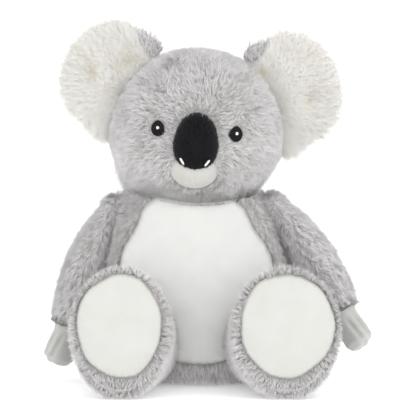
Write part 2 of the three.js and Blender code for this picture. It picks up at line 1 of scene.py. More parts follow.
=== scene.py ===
"""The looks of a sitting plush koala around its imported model.

Every form is computed in millimetres in the model's own frame: +Z up, the toy faces -Y, floor at z = 0.
"""
import math

import bpy
import numpy as np
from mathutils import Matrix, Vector
from mathutils.kdtree import KDTree


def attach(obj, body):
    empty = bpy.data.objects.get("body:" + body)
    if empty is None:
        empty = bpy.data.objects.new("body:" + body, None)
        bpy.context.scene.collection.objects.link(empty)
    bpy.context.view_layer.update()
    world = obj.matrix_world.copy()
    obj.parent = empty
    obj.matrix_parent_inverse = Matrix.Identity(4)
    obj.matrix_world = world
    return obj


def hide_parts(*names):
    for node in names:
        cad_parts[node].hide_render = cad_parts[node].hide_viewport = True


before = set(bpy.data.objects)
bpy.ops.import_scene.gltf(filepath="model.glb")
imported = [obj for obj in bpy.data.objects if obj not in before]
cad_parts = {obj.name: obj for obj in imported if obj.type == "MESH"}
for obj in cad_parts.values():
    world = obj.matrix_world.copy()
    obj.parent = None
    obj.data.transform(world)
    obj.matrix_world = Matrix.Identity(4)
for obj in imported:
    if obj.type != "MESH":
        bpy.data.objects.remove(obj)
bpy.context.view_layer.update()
MM = 0.001
LEFT, RIGHT = -1, 1
SIDES = ((LEFT, "left"), (RIGHT, "right"))
TAU = 2 * math.pi

# Sizes, the same as the model's. A table of two is by side.
TORSO_ASIDE, TORSO_Y, TORSO_HEIGHT, TORSO_WIDTH, TORSO_FRONT, TORSO_BACK = -6, 44, 214, 200, 79, 70
TORSO_LEAN = -10
TORSO_ROWS = [
    [0, 0.72, 0.64, 0.76], [0.05, 0.85, 0.78, 0.87], [0.12, 0.94, 0.89, 0.94], [0.22, 0.99, 0.97, 0.98],
    [0.34, 1, 1, 1], [0.46, 0.985, 0.98, 0.99], [0.58, 0.97, 0.94, 0.96], [0.69, 0.95, 0.88, 0.92],
    [0.79, 0.91, 0.83, 0.86], [0.87, 0.84, 0.79, 0.79], [0.94, 0.7, 0.68, 0.66], [0.985, 0.42, 0.42, 0.4],
    [1, 0.02, 0.02, 0.02],
]
BELLY_HALF = [
    [0.15, 0.098], [0.36, 0.13], [0.55, 0.187], [0.72, 0.28], [0.8, 0.42], [0.79, 0.57],
    [0.75, 0.645], [0.69, 0.69], [0.62, 0.738], [0.57, 0.785], [0.53, 0.84], [0.44, 0.88], [0.2, 0.97],
]
HEAD_BALL, HEAD_PIVOT, HEAD_RISE = 93.5, np.array([-10.0, 32.0, 271.0]), 15
HEAD_HALF_WIDTH, HEAD_HALF_DEPTH, HEAD_TOP, JAW_BLEND, HEAD_ROLL = 86, 76, 79, 35, math.radians(4.3)
CUP_GAP = 3.6   # between a ball of cloth and the cup that it turns in
NECK_CUP = HEAD_BALL + CUP_GAP
NOSE_WIDTH, NOSE_HEIGHT, NOSE_DEPTH, NOSE_FORWARD, NOSE_BELOW, NOSE_NARROWING = 46, 57, 38, 77, 10, 0.1
MUZZLE_WIDTH, MUZZLE_HEIGHT, MUZZLE_DEPTH, MUZZLE_FORWARD, MUZZLE_BELOW = 50, 44, 44, 62, 34
EYE_WIDTH, EYE_HEIGHT, EYE_ASIDE, EYE_ABOVE = 12.8, 15.6, 38.8, 1.5
EAR_REACH, EAR_HEIGHT, EAR_OUT, EAR_UP, EAR_THICK, EAR_CUP, EAR_TAPER = 91, 112, 36, 15, 9, 7, 31
EAR_ROOT, EAR_ROOT_GAP = (67.3, 6, 18), 2
EAR_LOWER_CORNER, EAR_BACK_CORNER = 0.42, 0.17
EAR_LEAN, EAR_FOLD = math.radians(26.3), math.radians(57)
SHOULDER = (67, 32, 170)
FLANK_LEAN = {LEFT: math.radians(17.5), RIGHT: math.radians(28)}
FLANK_FLARE = {LEFT: math.radians(22), RIGHT: math.radians(14)}
ARM_BALL, ARM_OUT = 18, 13
ARM_FORWARD = {LEFT: math.radians(8), RIGHT: math.radians(18)}
SLEEVE, PAW = 128, 42
SLEEVE_ROWS = [
    [0.0625, 1, -1.21, 1], [0.125, 1.2, -0.975, 1.12], [0.27, 1.5, -0.97, 1.32], [0.49, 1.75, -0.97, 1.46],
    [0.71, 1.72, -0.95, 1.46], [0.89, 1.56, -0.85, 1.36], [1, 1.42, -0.735, 1.26],
]
PAW_ROWS = [
    [0, 1.16, -0.42, 1.01], [0.16, 1.1, -0.4, 0.98], [0.37, 1.14, -0.54, 1.12], [0.63, 1.18, -0.6, 1.2],
    [0.86, 1.06, -0.45, 1.06], [0.965, 0.7, -0.05, 0.58], [1, 0.37, 0.41, 0.05],
]
LEG_LENGTH, LEG_BACK, HIP_ASIDE, FOOT_HEIGHT, FOOT_PRESS = 120, 8, 61, 131, 0.6
FOOT_ASIDE, FOOT_WIDTH = {LEFT: 80.5, RIGHT: 83.5}, {LEFT: 101, RIGHT: 108}
SOLE_WIDTH = {LEFT: 85, RIGHT: 94}
SOLE_HEIGHT, SOLE_ABOVE, SOLE_DOME, SOLE_INSET = 104, 6.5, 5, 3
LEG_ROWS = [
    [0, 0.6, 0.5], [0.05, 0.74, 0.62], [0.18, 0.84, 0.7], [0.4, 0.86, 0.73], [0.62, 0.88, 0.79],
    [0.78, 0.94, 0.9], [0.88, 0.99, 0.98], [0.94, 1, 1], [0.985, 0.97, 0.98], [1, 0.9, 0.92],
]
HIDE_DEPTH = 5.0   # the backing cloth lies this far below the tips of the pile
HIDE_THICK = 4
FLOOR = 0.4
HIDE_FLOOR = 1.5   # under the toy the pile is pressed flat between the cloth and the floor
NOSE_MIDDLE = np.array([0, -NOSE_FORWARD, -NOSE_BELOW - HEAD_RISE])   # in the head's own frame
NOSE_HALF = np.array([NOSE_WIDTH, NOSE_DEPTH, NOSE_HEIGHT]) / 2
MUZZLE_MIDDLE = np.array([0, -MUZZLE_FORWARD, -MUZZLE_BELOW - HEAD_RISE])
MUZZLE_HALF = np.array([MUZZLE_WIDTH, MUZZLE_DEPTH, MUZZLE_HEIGHT]) / 2
NOSTRIL_ASIDE, NOSTRIL_BELOW, NOSTRIL_TILT, NOSTRIL_HALF = 12.5, 18, math.radians(34), 4
GLINT_RADIUS, TUBE_SIDES = 1.5, 6
BELLY_MIDDLE = TORSO_HEIGHT * 0.47
SOLE_MIDDLE = FOOT_HEIGHT / 2 - FOOT_PRESS + SOLE_ABOVE
FOOT_FRONT = LEG_BACK - LEG_LENGTH
HEAD_AXES = np.array([[math.cos(HEAD_ROLL), 0, math.sin(HEAD_ROLL)], [0, 1, 0],
                      [-math.sin(HEAD_ROLL), 0, math.cos(HEAD_ROLL)]])


# Small tools
def interpolate(rows, at):
    """Smooth values between the rows of a share table."""
    rows = np.array(rows, float)
    x, y = rows[:, 0], rows[:, 1:]
    slopes = np.gradient(y, x, axis=0)
    at = np.clip(np.asarray(at, float), x[0], x[-1])
    i = np.clip(np.searchsorted(x, at, side="right") - 1, 0, len(x) - 2)
    h = (x[i + 1] - x[i])[:, None]
    t = ((at - x[i]) / (x[i + 1] - x[i]))[:, None]
    return ((2 * t**3 - 3 * t**2 + 1) * y[i] + (t**3 - 2 * t**2 + t) * h * slopes[i]
            + (3 * t**2 - 2 * t**3) * y[i + 1] + (t**3 - t**2) * h * slopes[i + 1])


def size_of(v):
    return np.linalg.norm(v, axis=-1)


def unit(v):
    return v / np.maximum(size_of(v), 1e-9)[..., None]


def ease(x, low, high):
    t = np.clip((x - low) / (high - low), 0, 1)
    return t * t * (3 - 2 * t)


def turns(count):
    return np.arange(count) / count * TAU


def waves(p, scale, seed):
    """A soft random field from a few sine waves, about -1 to 1, repeatable."""
    rng = np.random.default_rng(seed)
    total = np.zeros(len(p))
    weight = 0
    for octave in range(3):
        for _ in range(5):
            direction = rng.normal(size=3)
            direction *= TAU / (scale / 1.9**octave) / size_of(direction)
            total += np.sin(p @ direction + rng.uniform(0, TAU)) / 1.7**octave
        weight += 2.2 / 1.7**octave
    return total / weight


def smoothed(grid, times):
    """Smooths a grid of points that is closed the second way."""
    for _ in range(times):
        around = (np.roll(grid, 1, 1) + np.roll(grid, -1, 1)) / 2
        along = grid.copy()
        along[1:-1] = (grid[2:] + grid[:-2]) / 2
        grid = grid / 2 + (around + along) / 4
    return grid


def lattice(rows, around, wrap=False, first=0):
    """Quads of a grid of points that is closed the second way, and with wrap the first way too."""
    i = np.arange(rows if wrap else rows - 1)[:, None]
    j = np.arange(around)
    after, beside = (i + 1) % rows * around, (j + 1) % around
    i = i * around
    return first + np.stack([i + j, i + beside, after + beside, after + j], -1).reshape(-1, 4)


def closed_form(grid):
    """Points, triangles, and quads with end fans, of the closed skin through a grid of rings."""
    rows, around = grid.shape[:2]
    points = np.concatenate([grid.reshape(-1, 3), [grid[0].mean(0)], [grid[-1].mean(0)]])
    quads = lattice(rows, around)
    j = np.arange(around)
    k = (j + 1) % around
    first = rows * around
    last = first - around
    caps = np.concatenate([np.stack([0 * j + first, k, j], -1),
                           np.stack([0 * j + first + 1, last + j, last + k], -1)])
    faces = np.concatenate([quads[:, [0, 1, 2]], quads[:, [0, 2, 3]], caps])
    a, b, c = points[faces.T]
    if np.einsum("ij,ij->i", a, np.cross(b, c)).sum() < 0:
        faces, quads, caps = faces[:, ::-1], quads[:, ::-1], caps[:, ::-1]
    return points, faces, [quads, caps]


def normals_of(points, faces):
    a, b, c = points[faces.T]
    cross = np.cross(b - a, c - a)
    normals = np.zeros_like(points)
    for corner in range(3):
        np.add.at(normals, faces[:, corner], cross)
    return unit(normals)


def add_object(name, data):
    thing = bpy.data.objects.new(name, data)
    bpy.context.collection.objects.link(thing)
    return thing


def mesh_object(name, points, faces, material, uv=None, normals=None):
    """A smooth mesh from millimetre points. faces is a list of arrays of triangles or quads."""
    counts = np.concatenate([np.full(len(f), f.shape[1]) for f in faces])
    corners = np.concatenate([f.ravel() for f in faces])
    starts = np.concatenate([[0], np.cumsum(counts)[:-1]])
    mesh = bpy.data.meshes.new(name)
    mesh.vertices.add(len(points))
    mesh.vertices.foreach_set("co", (np.asarray(points, np.float32) * MM).ravel())
    mesh.loops.add(len(corners))
    mesh.loops.foreach_set("vertex_index", corners.astype(np.int32))
    mesh.polygons.add(len(counts))
    mesh.polygons.foreach_set("loop_start", starts.astype(np.int32))
    if uv is not None:
        layer = mesh.uv_layers.new(name="OFBake")
        layer.data.foreach_set("uv", uv[corners].astype(np.float32).ravel())
    mesh.update(calc_edges=True)
    mesh.validate()
    mesh.polygons.foreach_set("use_smooth", np.ones(len(mesh.polygons), bool))
    if normals is not None:
        mesh.normals_split_custom_set_from_vertices(normals.astype(np.float32))
    mesh.materials.append(material)
    return add_object(name, mesh)


def settle(piece, body, node=None):
    """Puts a piece on the body it rides on, and hides the part of the model that it stands for."""
    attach(piece, body)
    if node is not None:
        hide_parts(node)


# Materials
NAP_SCALE, NAP_STRENGTH, NAP_DEPTH = 2600, 0.4, 0.0004   # the fine bump of short pile


def node(tree, kind, inputs=(), **settings):
    """A shader node. Each of its inputs is a value, or the output that feeds it."""
    made = tree.nodes.new(kind)
    for key, value in settings.items():
        setattr(made, key, value)
    set_inputs(tree, made, inputs)
    return made


def set_inputs(tree, made, inputs):
    for key, value in dict(inputs).items():
        if isinstance(value, bpy.types.NodeSocket):
            tree.links.new(value, made.inputs[key])
        else:
            made.inputs[key].default_value = value


def new_material(name, roughness, sheen=0.0, specular=0.2):
    material = bpy.data.materials.new(name)
    material.use_nodes = True
    tree = material.node_tree
    shader = tree.nodes["Principled BSDF"]
    set_inputs(tree, shader, {"Roughness": roughness, "Specular IOR Level": specular, "Sheen Weight": sheen,
                              "Sheen Roughness": 0.5, "Sheen Tint": (1, 1, 1, 1)})
    return material, tree, shader


def ramp(tree, source, stops):
    made = node(tree, "ShaderNodeValToRGB", {"Fac": source})
    elements = made.color_ramp.elements
    while len(elements) < len(stops):
        elements.new(0.5)
    for element, (position, color) in zip(elements, stops):
        element.position = position
        element.color = (*color, 1)
    return made.outputs["Color"]


def fur_material(name, root, middle, tip, darkest):
    """Colour runs along each strand (v), and u says how light the strand is."""
    material, tree, shader = new_material(name, 0.75, sheen=0.15, specular=0.15)
    uv = node(tree, "ShaderNodeUVMap", uv_map="OFBake").outputs["UV"]
    split = node(tree, "ShaderNodeSeparateXYZ", {"Vector": uv}).outputs
    # The darker root end of every strand is painted shade, deep in the pile between the tufts
    along = ramp(tree, split["Y"], [(0.0, root), (0.45, middle), (1.0, tip)])
    shade = ramp(tree, split["X"], [(0.0, darkest), (1.0, (1, 1, 1))])
    mix = node(tree, "ShaderNodeMix", {"Factor": 1, "A": along, "B": shade}, data_type="RGBA",
               blend_type="MULTIPLY")
    set_inputs(tree, shader, {"Base Color": mix.outputs["Result"]})
    return material


def cloth_material(name, low, high, scale, sheen=0.4, roughness=0.9):
    """Short smooth pile: a soft mottle, and a fine nap as bump."""
    material, tree, shader = new_material(name, roughness, sheen=sheen, specular=0.15)
    place = node(tree, "ShaderNodeTexCoord").outputs["Object"]
    mottle, nap = (
        node(tree, "ShaderNodeTexNoise", {"Vector": place, "Scale": size, "Detail": detail}).outputs["Fac"]
        for size, detail in ((scale, 4), (NAP_SCALE, 2)))
    relief = node(tree, "ShaderNodeBump", {"Strength": NAP_STRENGTH, "Distance": NAP_DEPTH, "Height": nap})
    set_inputs(tree, shader, {"Base Color": ramp(tree, mottle, [(0.3, low), (0.7, high)]),
                              "Normal": relief.outputs["Normal"]})
    return material


GREY_FUR = fur_material("grey_fur", (0.44, 0.41, 0.4), (0.83, 0.82, 0.815), (0.93, 0.925, 0.93),
                        (0.66, 0.635, 0.63))
# Its darkest, creamy tone is the colour of the painted shade in the ears' dimples and along their roots
WHITE_FUR = fur_material("white_fur", (0.94, 0.9, 0.81), (0.985, 0.97, 0.92), (0.995, 0.99, 0.965),
                         (0.84, 0.79, 0.68))
BLACK_PILE = fur_material("black_pile", (0.004, 0.004, 0.005), (0.008, 0.008, 0.01), (0.02, 0.02, 0.023),
                          (0.7, 0.7, 0.7))
GREY_HIDE = cloth_material("grey_hide", (0.42, 0.405, 0.41), (0.52, 0.505, 0.51), 60)
WHITE_HIDE = cloth_material("white_hide", (0.9, 0.875, 0.81), (0.94, 0.925, 0.88), 60)
WHITE_VELOUR = cloth_material("white_velour", (0.625, 0.625, 0.61), (0.66, 0.66, 0.645), 45)
# The soles are the belly's white velour painted darker: painted shade, because the lamps light the soles more
# than the belly
SHADED_SOLE_VELOUR = cloth_material("sole_velour_painted_shade", (0.52, 0.522, 0.495), (0.545, 0.548, 0.522), 45)
MUZZLE_VELOUR = cloth_material("muzzle_velour", (0.47, 0.46, 0.435), (0.52, 0.51, 0.485), 70)
GREY_VELOUR = cloth_material("grey_velour", (0.4, 0.405, 0.385), (0.47, 0.475, 0.455), 60)
BLACK_PLUSH = cloth_material("black_plush", (0.004, 0.004, 0.005), (0.009, 0.009, 0.011), 90, sheen=0.05)
BLACK_THREAD = cloth_material("black_thread", (0.004, 0.004, 0.004), (0.01, 0.01, 0.01), 300,
                              sheen=0.0, roughness=0.38)
WHITE_THREAD = cloth_material("white_thread", (0.82, 0.82, 0.8), (0.9, 0.9, 0.88), 300,
                              sheen=0.1, roughness=0.45)
SEAM_CLOTH = cloth_material("seam_cloth", (0.24, 0.23, 0.22), (0.32, 0.31, 0.3), 120)
FIBRE = cloth_material("fibre", (0.85, 0.85, 0.85), (0.95, 0.95, 0.95), 80)


# Forms
def torso_middle(z):
    """How far aside the leaning torso's middle is at this height."""
    return TORSO_ASIDE + TORSO_LEAN * z / TORSO_HEIGHT


def aside(p):
    return p[:, 0] - torso_middle(p[:, 2])


def by_side(table, p):
    """The value of each point's own side from a table of two."""
    return np.where(p[:, 0] < TORSO_ASIDE, table[LEFT], table[RIGHT])


def shoulder_frame(side):
    """Axes out, across and up of a shoulder as columns, and the centre of its ball."""
    level = math.cos(FLANK_LEAN[side])
    flare = FLANK_FLARE[side]
    out = np.array([side * level * math.cos(flare), level * math.sin(flare), math.sin(FLANK_LEAN[side])])
    up = unit(np.array([0, 0, 1.0]) - out * out[2])
    aside, back, height = SHOULDER
    flank = np.array([torso_middle(height) + side * aside, back, height])
    return np.stack([out, np.cross(up, out), up], 1), flank + out * ARM_OUT


def arm_frame(side):
    """Axes of an arm as columns, and the centre of its ball."""
    axes, centre = shoulder_frame(side)
    sin, cos = math.sin(-side * ARM_FORWARD[side]), math.cos(-side * ARM_FORWARD[side])
    return axes @ np.array([[1, 0, 0], [0, cos, -sin], [0, sin, cos]]), centre


def ear_frame(side):
    """Axes out, up and forwards of an ear as columns, and its root, in the head's own frame."""
    sin, cos = math.sin(EAR_LEAN), math.cos(EAR_LEAN)
    root = np.array([side * EAR_ROOT[0], EAR_ROOT[1], EAR_ROOT[2] - HEAD_RISE])
    return np.array([[side * cos, -side * sin, 0], [0, 0, -1.0], [sin, cos, 0]]), root


def to_world(points):
    return points @ HEAD_AXES.T + HEAD_PIVOT


def to_head(points):
    return (points - HEAD_PIVOT) @ HEAD_AXES


def torso_sizes(z):
    w, f, b = interpolate(TORSO_ROWS, np.clip(np.ravel(z) / TORSO_HEIGHT, 0, 1)).T
    return TORSO_WIDTH / 2 * w, TORSO_FRONT * f, TORSO_BACK * b


def clear_of_neighbours(points):
    """Takes torso points back to the flanks, the shoulder cups and the neck cup."""
    p = points.reshape(-1, 3).copy()
    cup = ARM_BALL + CUP_GAP
    for side, _ in SIDES:
        axes, centre = shoulder_frame(side)
        out = axes[:, 0]
        p -= np.maximum((p - centre) @ out + ARM_OUT, 0)[:, None] * out
        q = p - centre
        along = q @ out
        radial = size_of(q - along[:, None] * out)
        inside = size_of(q) < cup
        target = -np.sqrt(np.maximum(cup**2 - radial**2, 0))
        p[inside] += ((target - along)[:, None] * out)[inside]
    q = p - HEAD_PIVOT
    radial = np.hypot(q[:, 0], q[:, 1])
    inside = size_of(q) < NECK_CUP
    p[inside, 2] = HEAD_PIVOT[2] - np.sqrt(np.maximum(NECK_CUP**2 - radial[inside]**2, 0))
    return p.reshape(points.shape)


def torso_grid(rows=90, around=144):
    share = np.linspace(0, 1, rows) ** 1.15
    z = share * TORSO_HEIGHT
    w, f, b = torso_sizes(z)
    angle = turns(around)
    sin, cos = np.sin(angle), np.cos(angle)
    x = torso_middle(z)[:, None] + w[:, None] * cos
    y = TORSO_Y + np.where(sin < 0, f[:, None], b[:, None]) * sin
    grid = np.stack([x, y, 0 * x + z[:, None]], -1)
    return above_floor(smoothed(clear_of_neighbours(grid), 4))


def torso_front(x, z, inset):
    """y of the torso's front, which runs on past its sides."""
    w, f, _ = torso_sizes(z)
    across = np.clip(1 - ((x - torso_middle(z)) / np.maximum(w - inset, 1)) ** 2, 0, 1)
    return TORSO_Y - (f - inset) * np.sqrt(across)


def torso_reach(p, margin=0.0):
    """How far out points lie, where 1 is the torso's skin before any cut."""
    w, f, b = torso_sizes(p[:, 2])
    depth = np.where(p[:, 1] < TORSO_Y, f, b)
    return np.hypot(aside(p) / (w - margin), (p[:, 1] - TORSO_Y) / (depth - margin))


def inside_torso(p, margin):
    inside = (torso_reach(p, margin) < 1) & (p[:, 2] < TORSO_HEIGHT) & (torso_sizes(p[:, 2])[0] > 2 * margin)
    for side, _ in SIDES:
        axes, centre = shoulder_frame(side)
        inside &= (p - centre) @ axes[:, 0] < -ARM_OUT - margin
    return inside & (size_of(p - HEAD_PIVOT) > NECK_CUP + margin)


def head_profile(half, height):
    level = np.where(height > -HEAD_RISE, HEAD_TOP, HEAD_BALL - HEAD_RISE)
    round_half = half * np.sqrt(np.maximum(0, 1 - ((height + HEAD_RISE) / level) ** 2))
    ball = np.sqrt(np.maximum(0, HEAD_BALL**2 - height**2))
    share = ease(-height, HEAD_RISE, HEAD_RISE + JAW_BLEND)
    return round_half * (1 - share) + ball * share


def head_grid(rows=96, around=160):
    low, high = -HEAD_BALL, HEAD_TOP - HEAD_RISE
    height = (high + low) / 2 - (high - low) / 2 * np.cos(np.linspace(0.012, 0.988, rows) * math.pi)
    angle = turns(around)
    x = head_profile(HEAD_HALF_WIDTH, height)[:, None] * np.cos(angle)
    y = head_profile(HEAD_HALF_DEPTH, height)[:, None] * np.sin(angle)
    grid = np.stack([x, y, 0 * x + height[:, None]], -1)
    p = grid.reshape(-1, 3)
    for side, _ in SIDES:
        axes, root = ear_frame(side)
        q = (p - root) @ axes
        inside = (q[:, 0] > 0) & (np.abs(q[:, 2]) < np.tan(EAR_FOLD) * np.maximum(q[:, 0], 0))
        # Onto the nearer wall of the fold that holds the ear
        across = np.where(q[:, 2] < 0, -1.0, 1.0)
        wall = np.stack([np.full(len(q), math.cos(EAR_FOLD)), across * math.sin(EAR_FOLD)], 1)
        along = q[:, 0] * wall[:, 0] + q[:, 2] * wall[:, 1]
        q[np.ix_(inside, [0, 2])] = (along[:, None] * wall)[inside]
        p = q @ axes.T + root
    return to_world(smoothed(p.reshape(grid.shape), 3))


def inside_head(p, margin):
    q = to_head(p)
    half_w = head_profile(HEAD_HALF_WIDTH, q[:, 2]) - margin
    half_d = head_profile(HEAD_HALF_DEPTH, q[:, 2]) - margin
    ok = (half_w > 1) & (half_d > 1)
    e = np.hypot(q[:, 0] / np.maximum(half_w, 1), q[:, 1] / np.maximum(half_d, 1))
    return ok & (e < 1) & (q[:, 2] > -HEAD_BALL) & (q[:, 2] < HEAD_TOP - HEAD_RISE)


def sleeve_grid(table, start, length, around, dome=False):
    """Rings down an arm in its own frame, under a round top if it has one."""
    angle = turns(around)
    share = np.linspace(table[0][0], table[-1][0], 64)
    outer, inner, depth = interpolate(table, share).T
    outer, inner, depth = ARM_BALL * outer, ARM_OUT * inner, ARM_BALL * depth
    x = (outer + inner)[:, None] / 2 + (outer - inner)[:, None] / 2 * np.cos(angle)
    y = depth[:, None] * np.sin(angle)
    grid = np.stack([x, y, 0 * x - (start + length * share)[:, None]], -1)
    if not dome:
        return grid
    polar = np.linspace(0.06, 0.5, 16)[:, None, None] * math.pi
    ring = np.stack([np.cos(angle), np.sin(angle), 0 * angle], -1)
    ball = np.sin(polar) * ring + np.cos(polar) * [0, 0, 1]
    return smoothed(np.concatenate([ARM_BALL * ball, grid]), 4)


def leg_grid(side, rows=84, around=112):
    share = 1 - (1 - np.linspace(0, 1, rows)) ** 1.3
    w, h = interpolate(LEG_ROWS, share).T
    w, h = FOOT_WIDTH[side] / 2 * w, FOOT_HEIGHT / 2 * h
    angle = turns(around)
    x = (HIP_ASIDE + (FOOT_ASIDE[side] - HIP_ASIDE) * share)[:, None] + w[:, None] * np.cos(angle)
    z = (h - FOOT_PRESS)[:, None] + h[:, None] * np.sin(angle)
    y = 0 * x + (LEG_BACK - LEG_LENGTH * share)[:, None]
    grid = above_floor(np.stack([TORSO_ASIDE + side * x, y, z], -1))
    # What would be inside the body lies against it
    p = grid.reshape(-1, 3)
    reach = torso_reach(p)
    middle = np.stack([torso_middle(p[:, 2]), np.full(len(p), float(TORSO_Y))], 1)
    push = (reach < 1) & (reach > 1e-6)
    p[push, :2] = (p[:, :2] - middle)[push] / reach[push, None] * 1.004 + middle[push]
    return above_floor(smoothed(p.reshape(grid.shape), 3))


EAR_TRIM = {LEFT: 8, RIGHT: 5}   # how far the cloth of an ear's front stays inside the tips of its fringe
EAR_BACK_TRIM = 6
EAR_CLOTH = 0.6   # share of the ear's thickness that is cloth and stuffing under its pile
EAR_SEAM = 0.15   # half of the gap between the two halves of an ear
EAR_DIMPLES = {LEFT: [(24, 34), (48, 9)], RIGHT: [(12, 38), (46, -2)]}


def dimple(side, out, up, size):
    """How deep in a dimple of the ear's front a place lies."""
    return sum(np.exp(-((out - a) ** 2 + (up - b) ** 2) / size**2) for a, b in EAR_DIMPLES[side])


def corner_line(out):
    """The height where the white of an ear ends and the grey corner begins."""
    return 42 + 0.62 * out


def ear_grid(side, front, shrink, rows=40, around=120):
    """The domed half of an ear, closed by a flat side."""
    axes, root = ear_frame(side)
    share = np.sin(np.linspace(0.02, 0.5, rows) * math.pi)[:, None]
    angle = turns(around)
    corner = np.where(np.sin(angle) > 0, 0 if front else EAR_BACK_CORNER, EAR_LOWER_CORNER)
    corner = 1 + corner * np.sin(2 * angle) ** 2 * (np.cos(angle) < 0)
    if not front:
        shrink = shrink * (1 - 0.85 * np.exp(-((angle - 2.2) / 0.5) ** 2))
    out = EAR_OUT + (EAR_REACH / 2 - shrink) * share * np.cos(angle) * corner
    up = EAR_UP + (EAR_HEIGHT / 2 - shrink) * share * np.sin(angle) * corner
    if front:
        # Back under the line of the grey corner, square to it
        over = np.maximum(up - corner_line(out), 0)
        out, up = out + 0.53 * over * 0.8, up - 0.85 * over * 0.8
    out = np.maximum(out, EAR_ROOT_GAP)
    cup = EAR_CUP * (out / EAR_REACH) ** 2
    taper = np.clip(0.05 + out / EAR_TAPER, 0.05, 1)
    dome = EAR_CLOTH * EAR_THICK * np.sqrt(np.maximum(0, 1 - share**2)) * taper
    if front:
        dome = dome * (1 - 0.75 * np.minimum(dimple(side, out, up, 11), 1))
    facing = 1 if front else -1
    grid = np.stack([out, up, cup + facing * (EAR_SEAM + dome)], -1)
    flat = np.stack([out, up, cup + facing * EAR_SEAM], -1)[-2::-1]
    return to_world(np.concatenate([grid, flat]) @ axes.T + root)


# Pile
BODY_PILE, HEAD_PILE, LEG_PILE = 10.5, 9.5, 8.4   # lengths of the grey fur; the arms have the body's
PER_PIECE = 20000   # strands in one mesh at most
STAND, DROOP = 0.3, 0.12   # the middle of a strand stands this much steeper, and its tip flatter, in radians
MIDDLE = 0.52   # how far along a strand its middle is
STRAYS, STRAY_LENGTH, STRAY_RISE = 0.07, 1.22, 0.2   # the few strands that stand out of their tufts
ROOT_DEPTH = 0.4
CORNERS = 7   # of a strand: two rings of three and a tip


def above_floor(p):
    p[..., 2] = np.maximum(p[..., 2], FLOOR)
    return p


def scatter(points, faces, per_mm2, rng):
    a, b, c = points[faces.T]
    area = size_of(np.cross(b - a, c - a)) / 2
    count = int(area.sum() * per_mm2)
    face = rng.choice(len(faces), count, p=area / area.sum())
    u, v = rng.random(count), rng.random(count)
    flip = u + v > 1
    u[flip], v[flip] = 1 - u[flip], 1 - v[flip]
    normals = normals_of(points, faces)
    place = a[face] + u[:, None] * (b - a)[face] + v[:, None] * (c - a)[face]
    n0, n1, n2 = normals[faces[face].T]
    return place, unit(n0 + u[:, None] * (n1 - n0) + v[:, None] * (n2 - n0))


def at_places(value, places):
    """A value for each place, from a number or a function."""
    return value(places) if callable(value) else np.full(len(places), float(value))


def nearest_of(leads, places):
    tree = KDTree(len(leads))
    for number, place in enumerate(leads):
        tree.insert(place, number)
    tree.balance()
    return np.fromiter((tree.find(place)[1] for place in places), int, len(places))


def bent_strands(root, normal, flow, rise, size, swing, tilt):
    """Middles and tips of strands that stand up and bend over."""
    direction = unit(flow + swing[:, :1] * np.cross(normal, flow))
    for more, share in ((STAND, MIDDLE), (-DROOP, 1)):
        up = rise + more + tilt
        towards = np.cos(up)[:, None] * direction + np.sin(up)[:, None] * normal
        yield root + (size * share)[:, None] * towards


def spikes(root, middle, tip, normal, thick, softness):
    """Corners of three-sided spikes, and normals that are mostly the skin's, for a soft look."""
    axis = unit(middle - root)
    side = unit(np.cross(axis, normal + 1e-3))
    third = np.cross(axis, side)
    ring = np.stack([side * math.cos(turn) + third * math.sin(turn) for turn in (0, TAU / 3, 2 * TAU / 3)], 1)
    low = (root - normal * ROOT_DEPTH)[:, None] + ring * (thick / 2)[:, None, None]
    high = middle[:, None] + ring * (thick * 0.78 / 2)[:, None, None]
    around = np.concatenate([ring, ring, axis[:, None]], 1)
    lit = unit(normal[:, None] * softness + around * (1 - softness))
    return np.concatenate([low, high, tip[:, None]], 1), lit


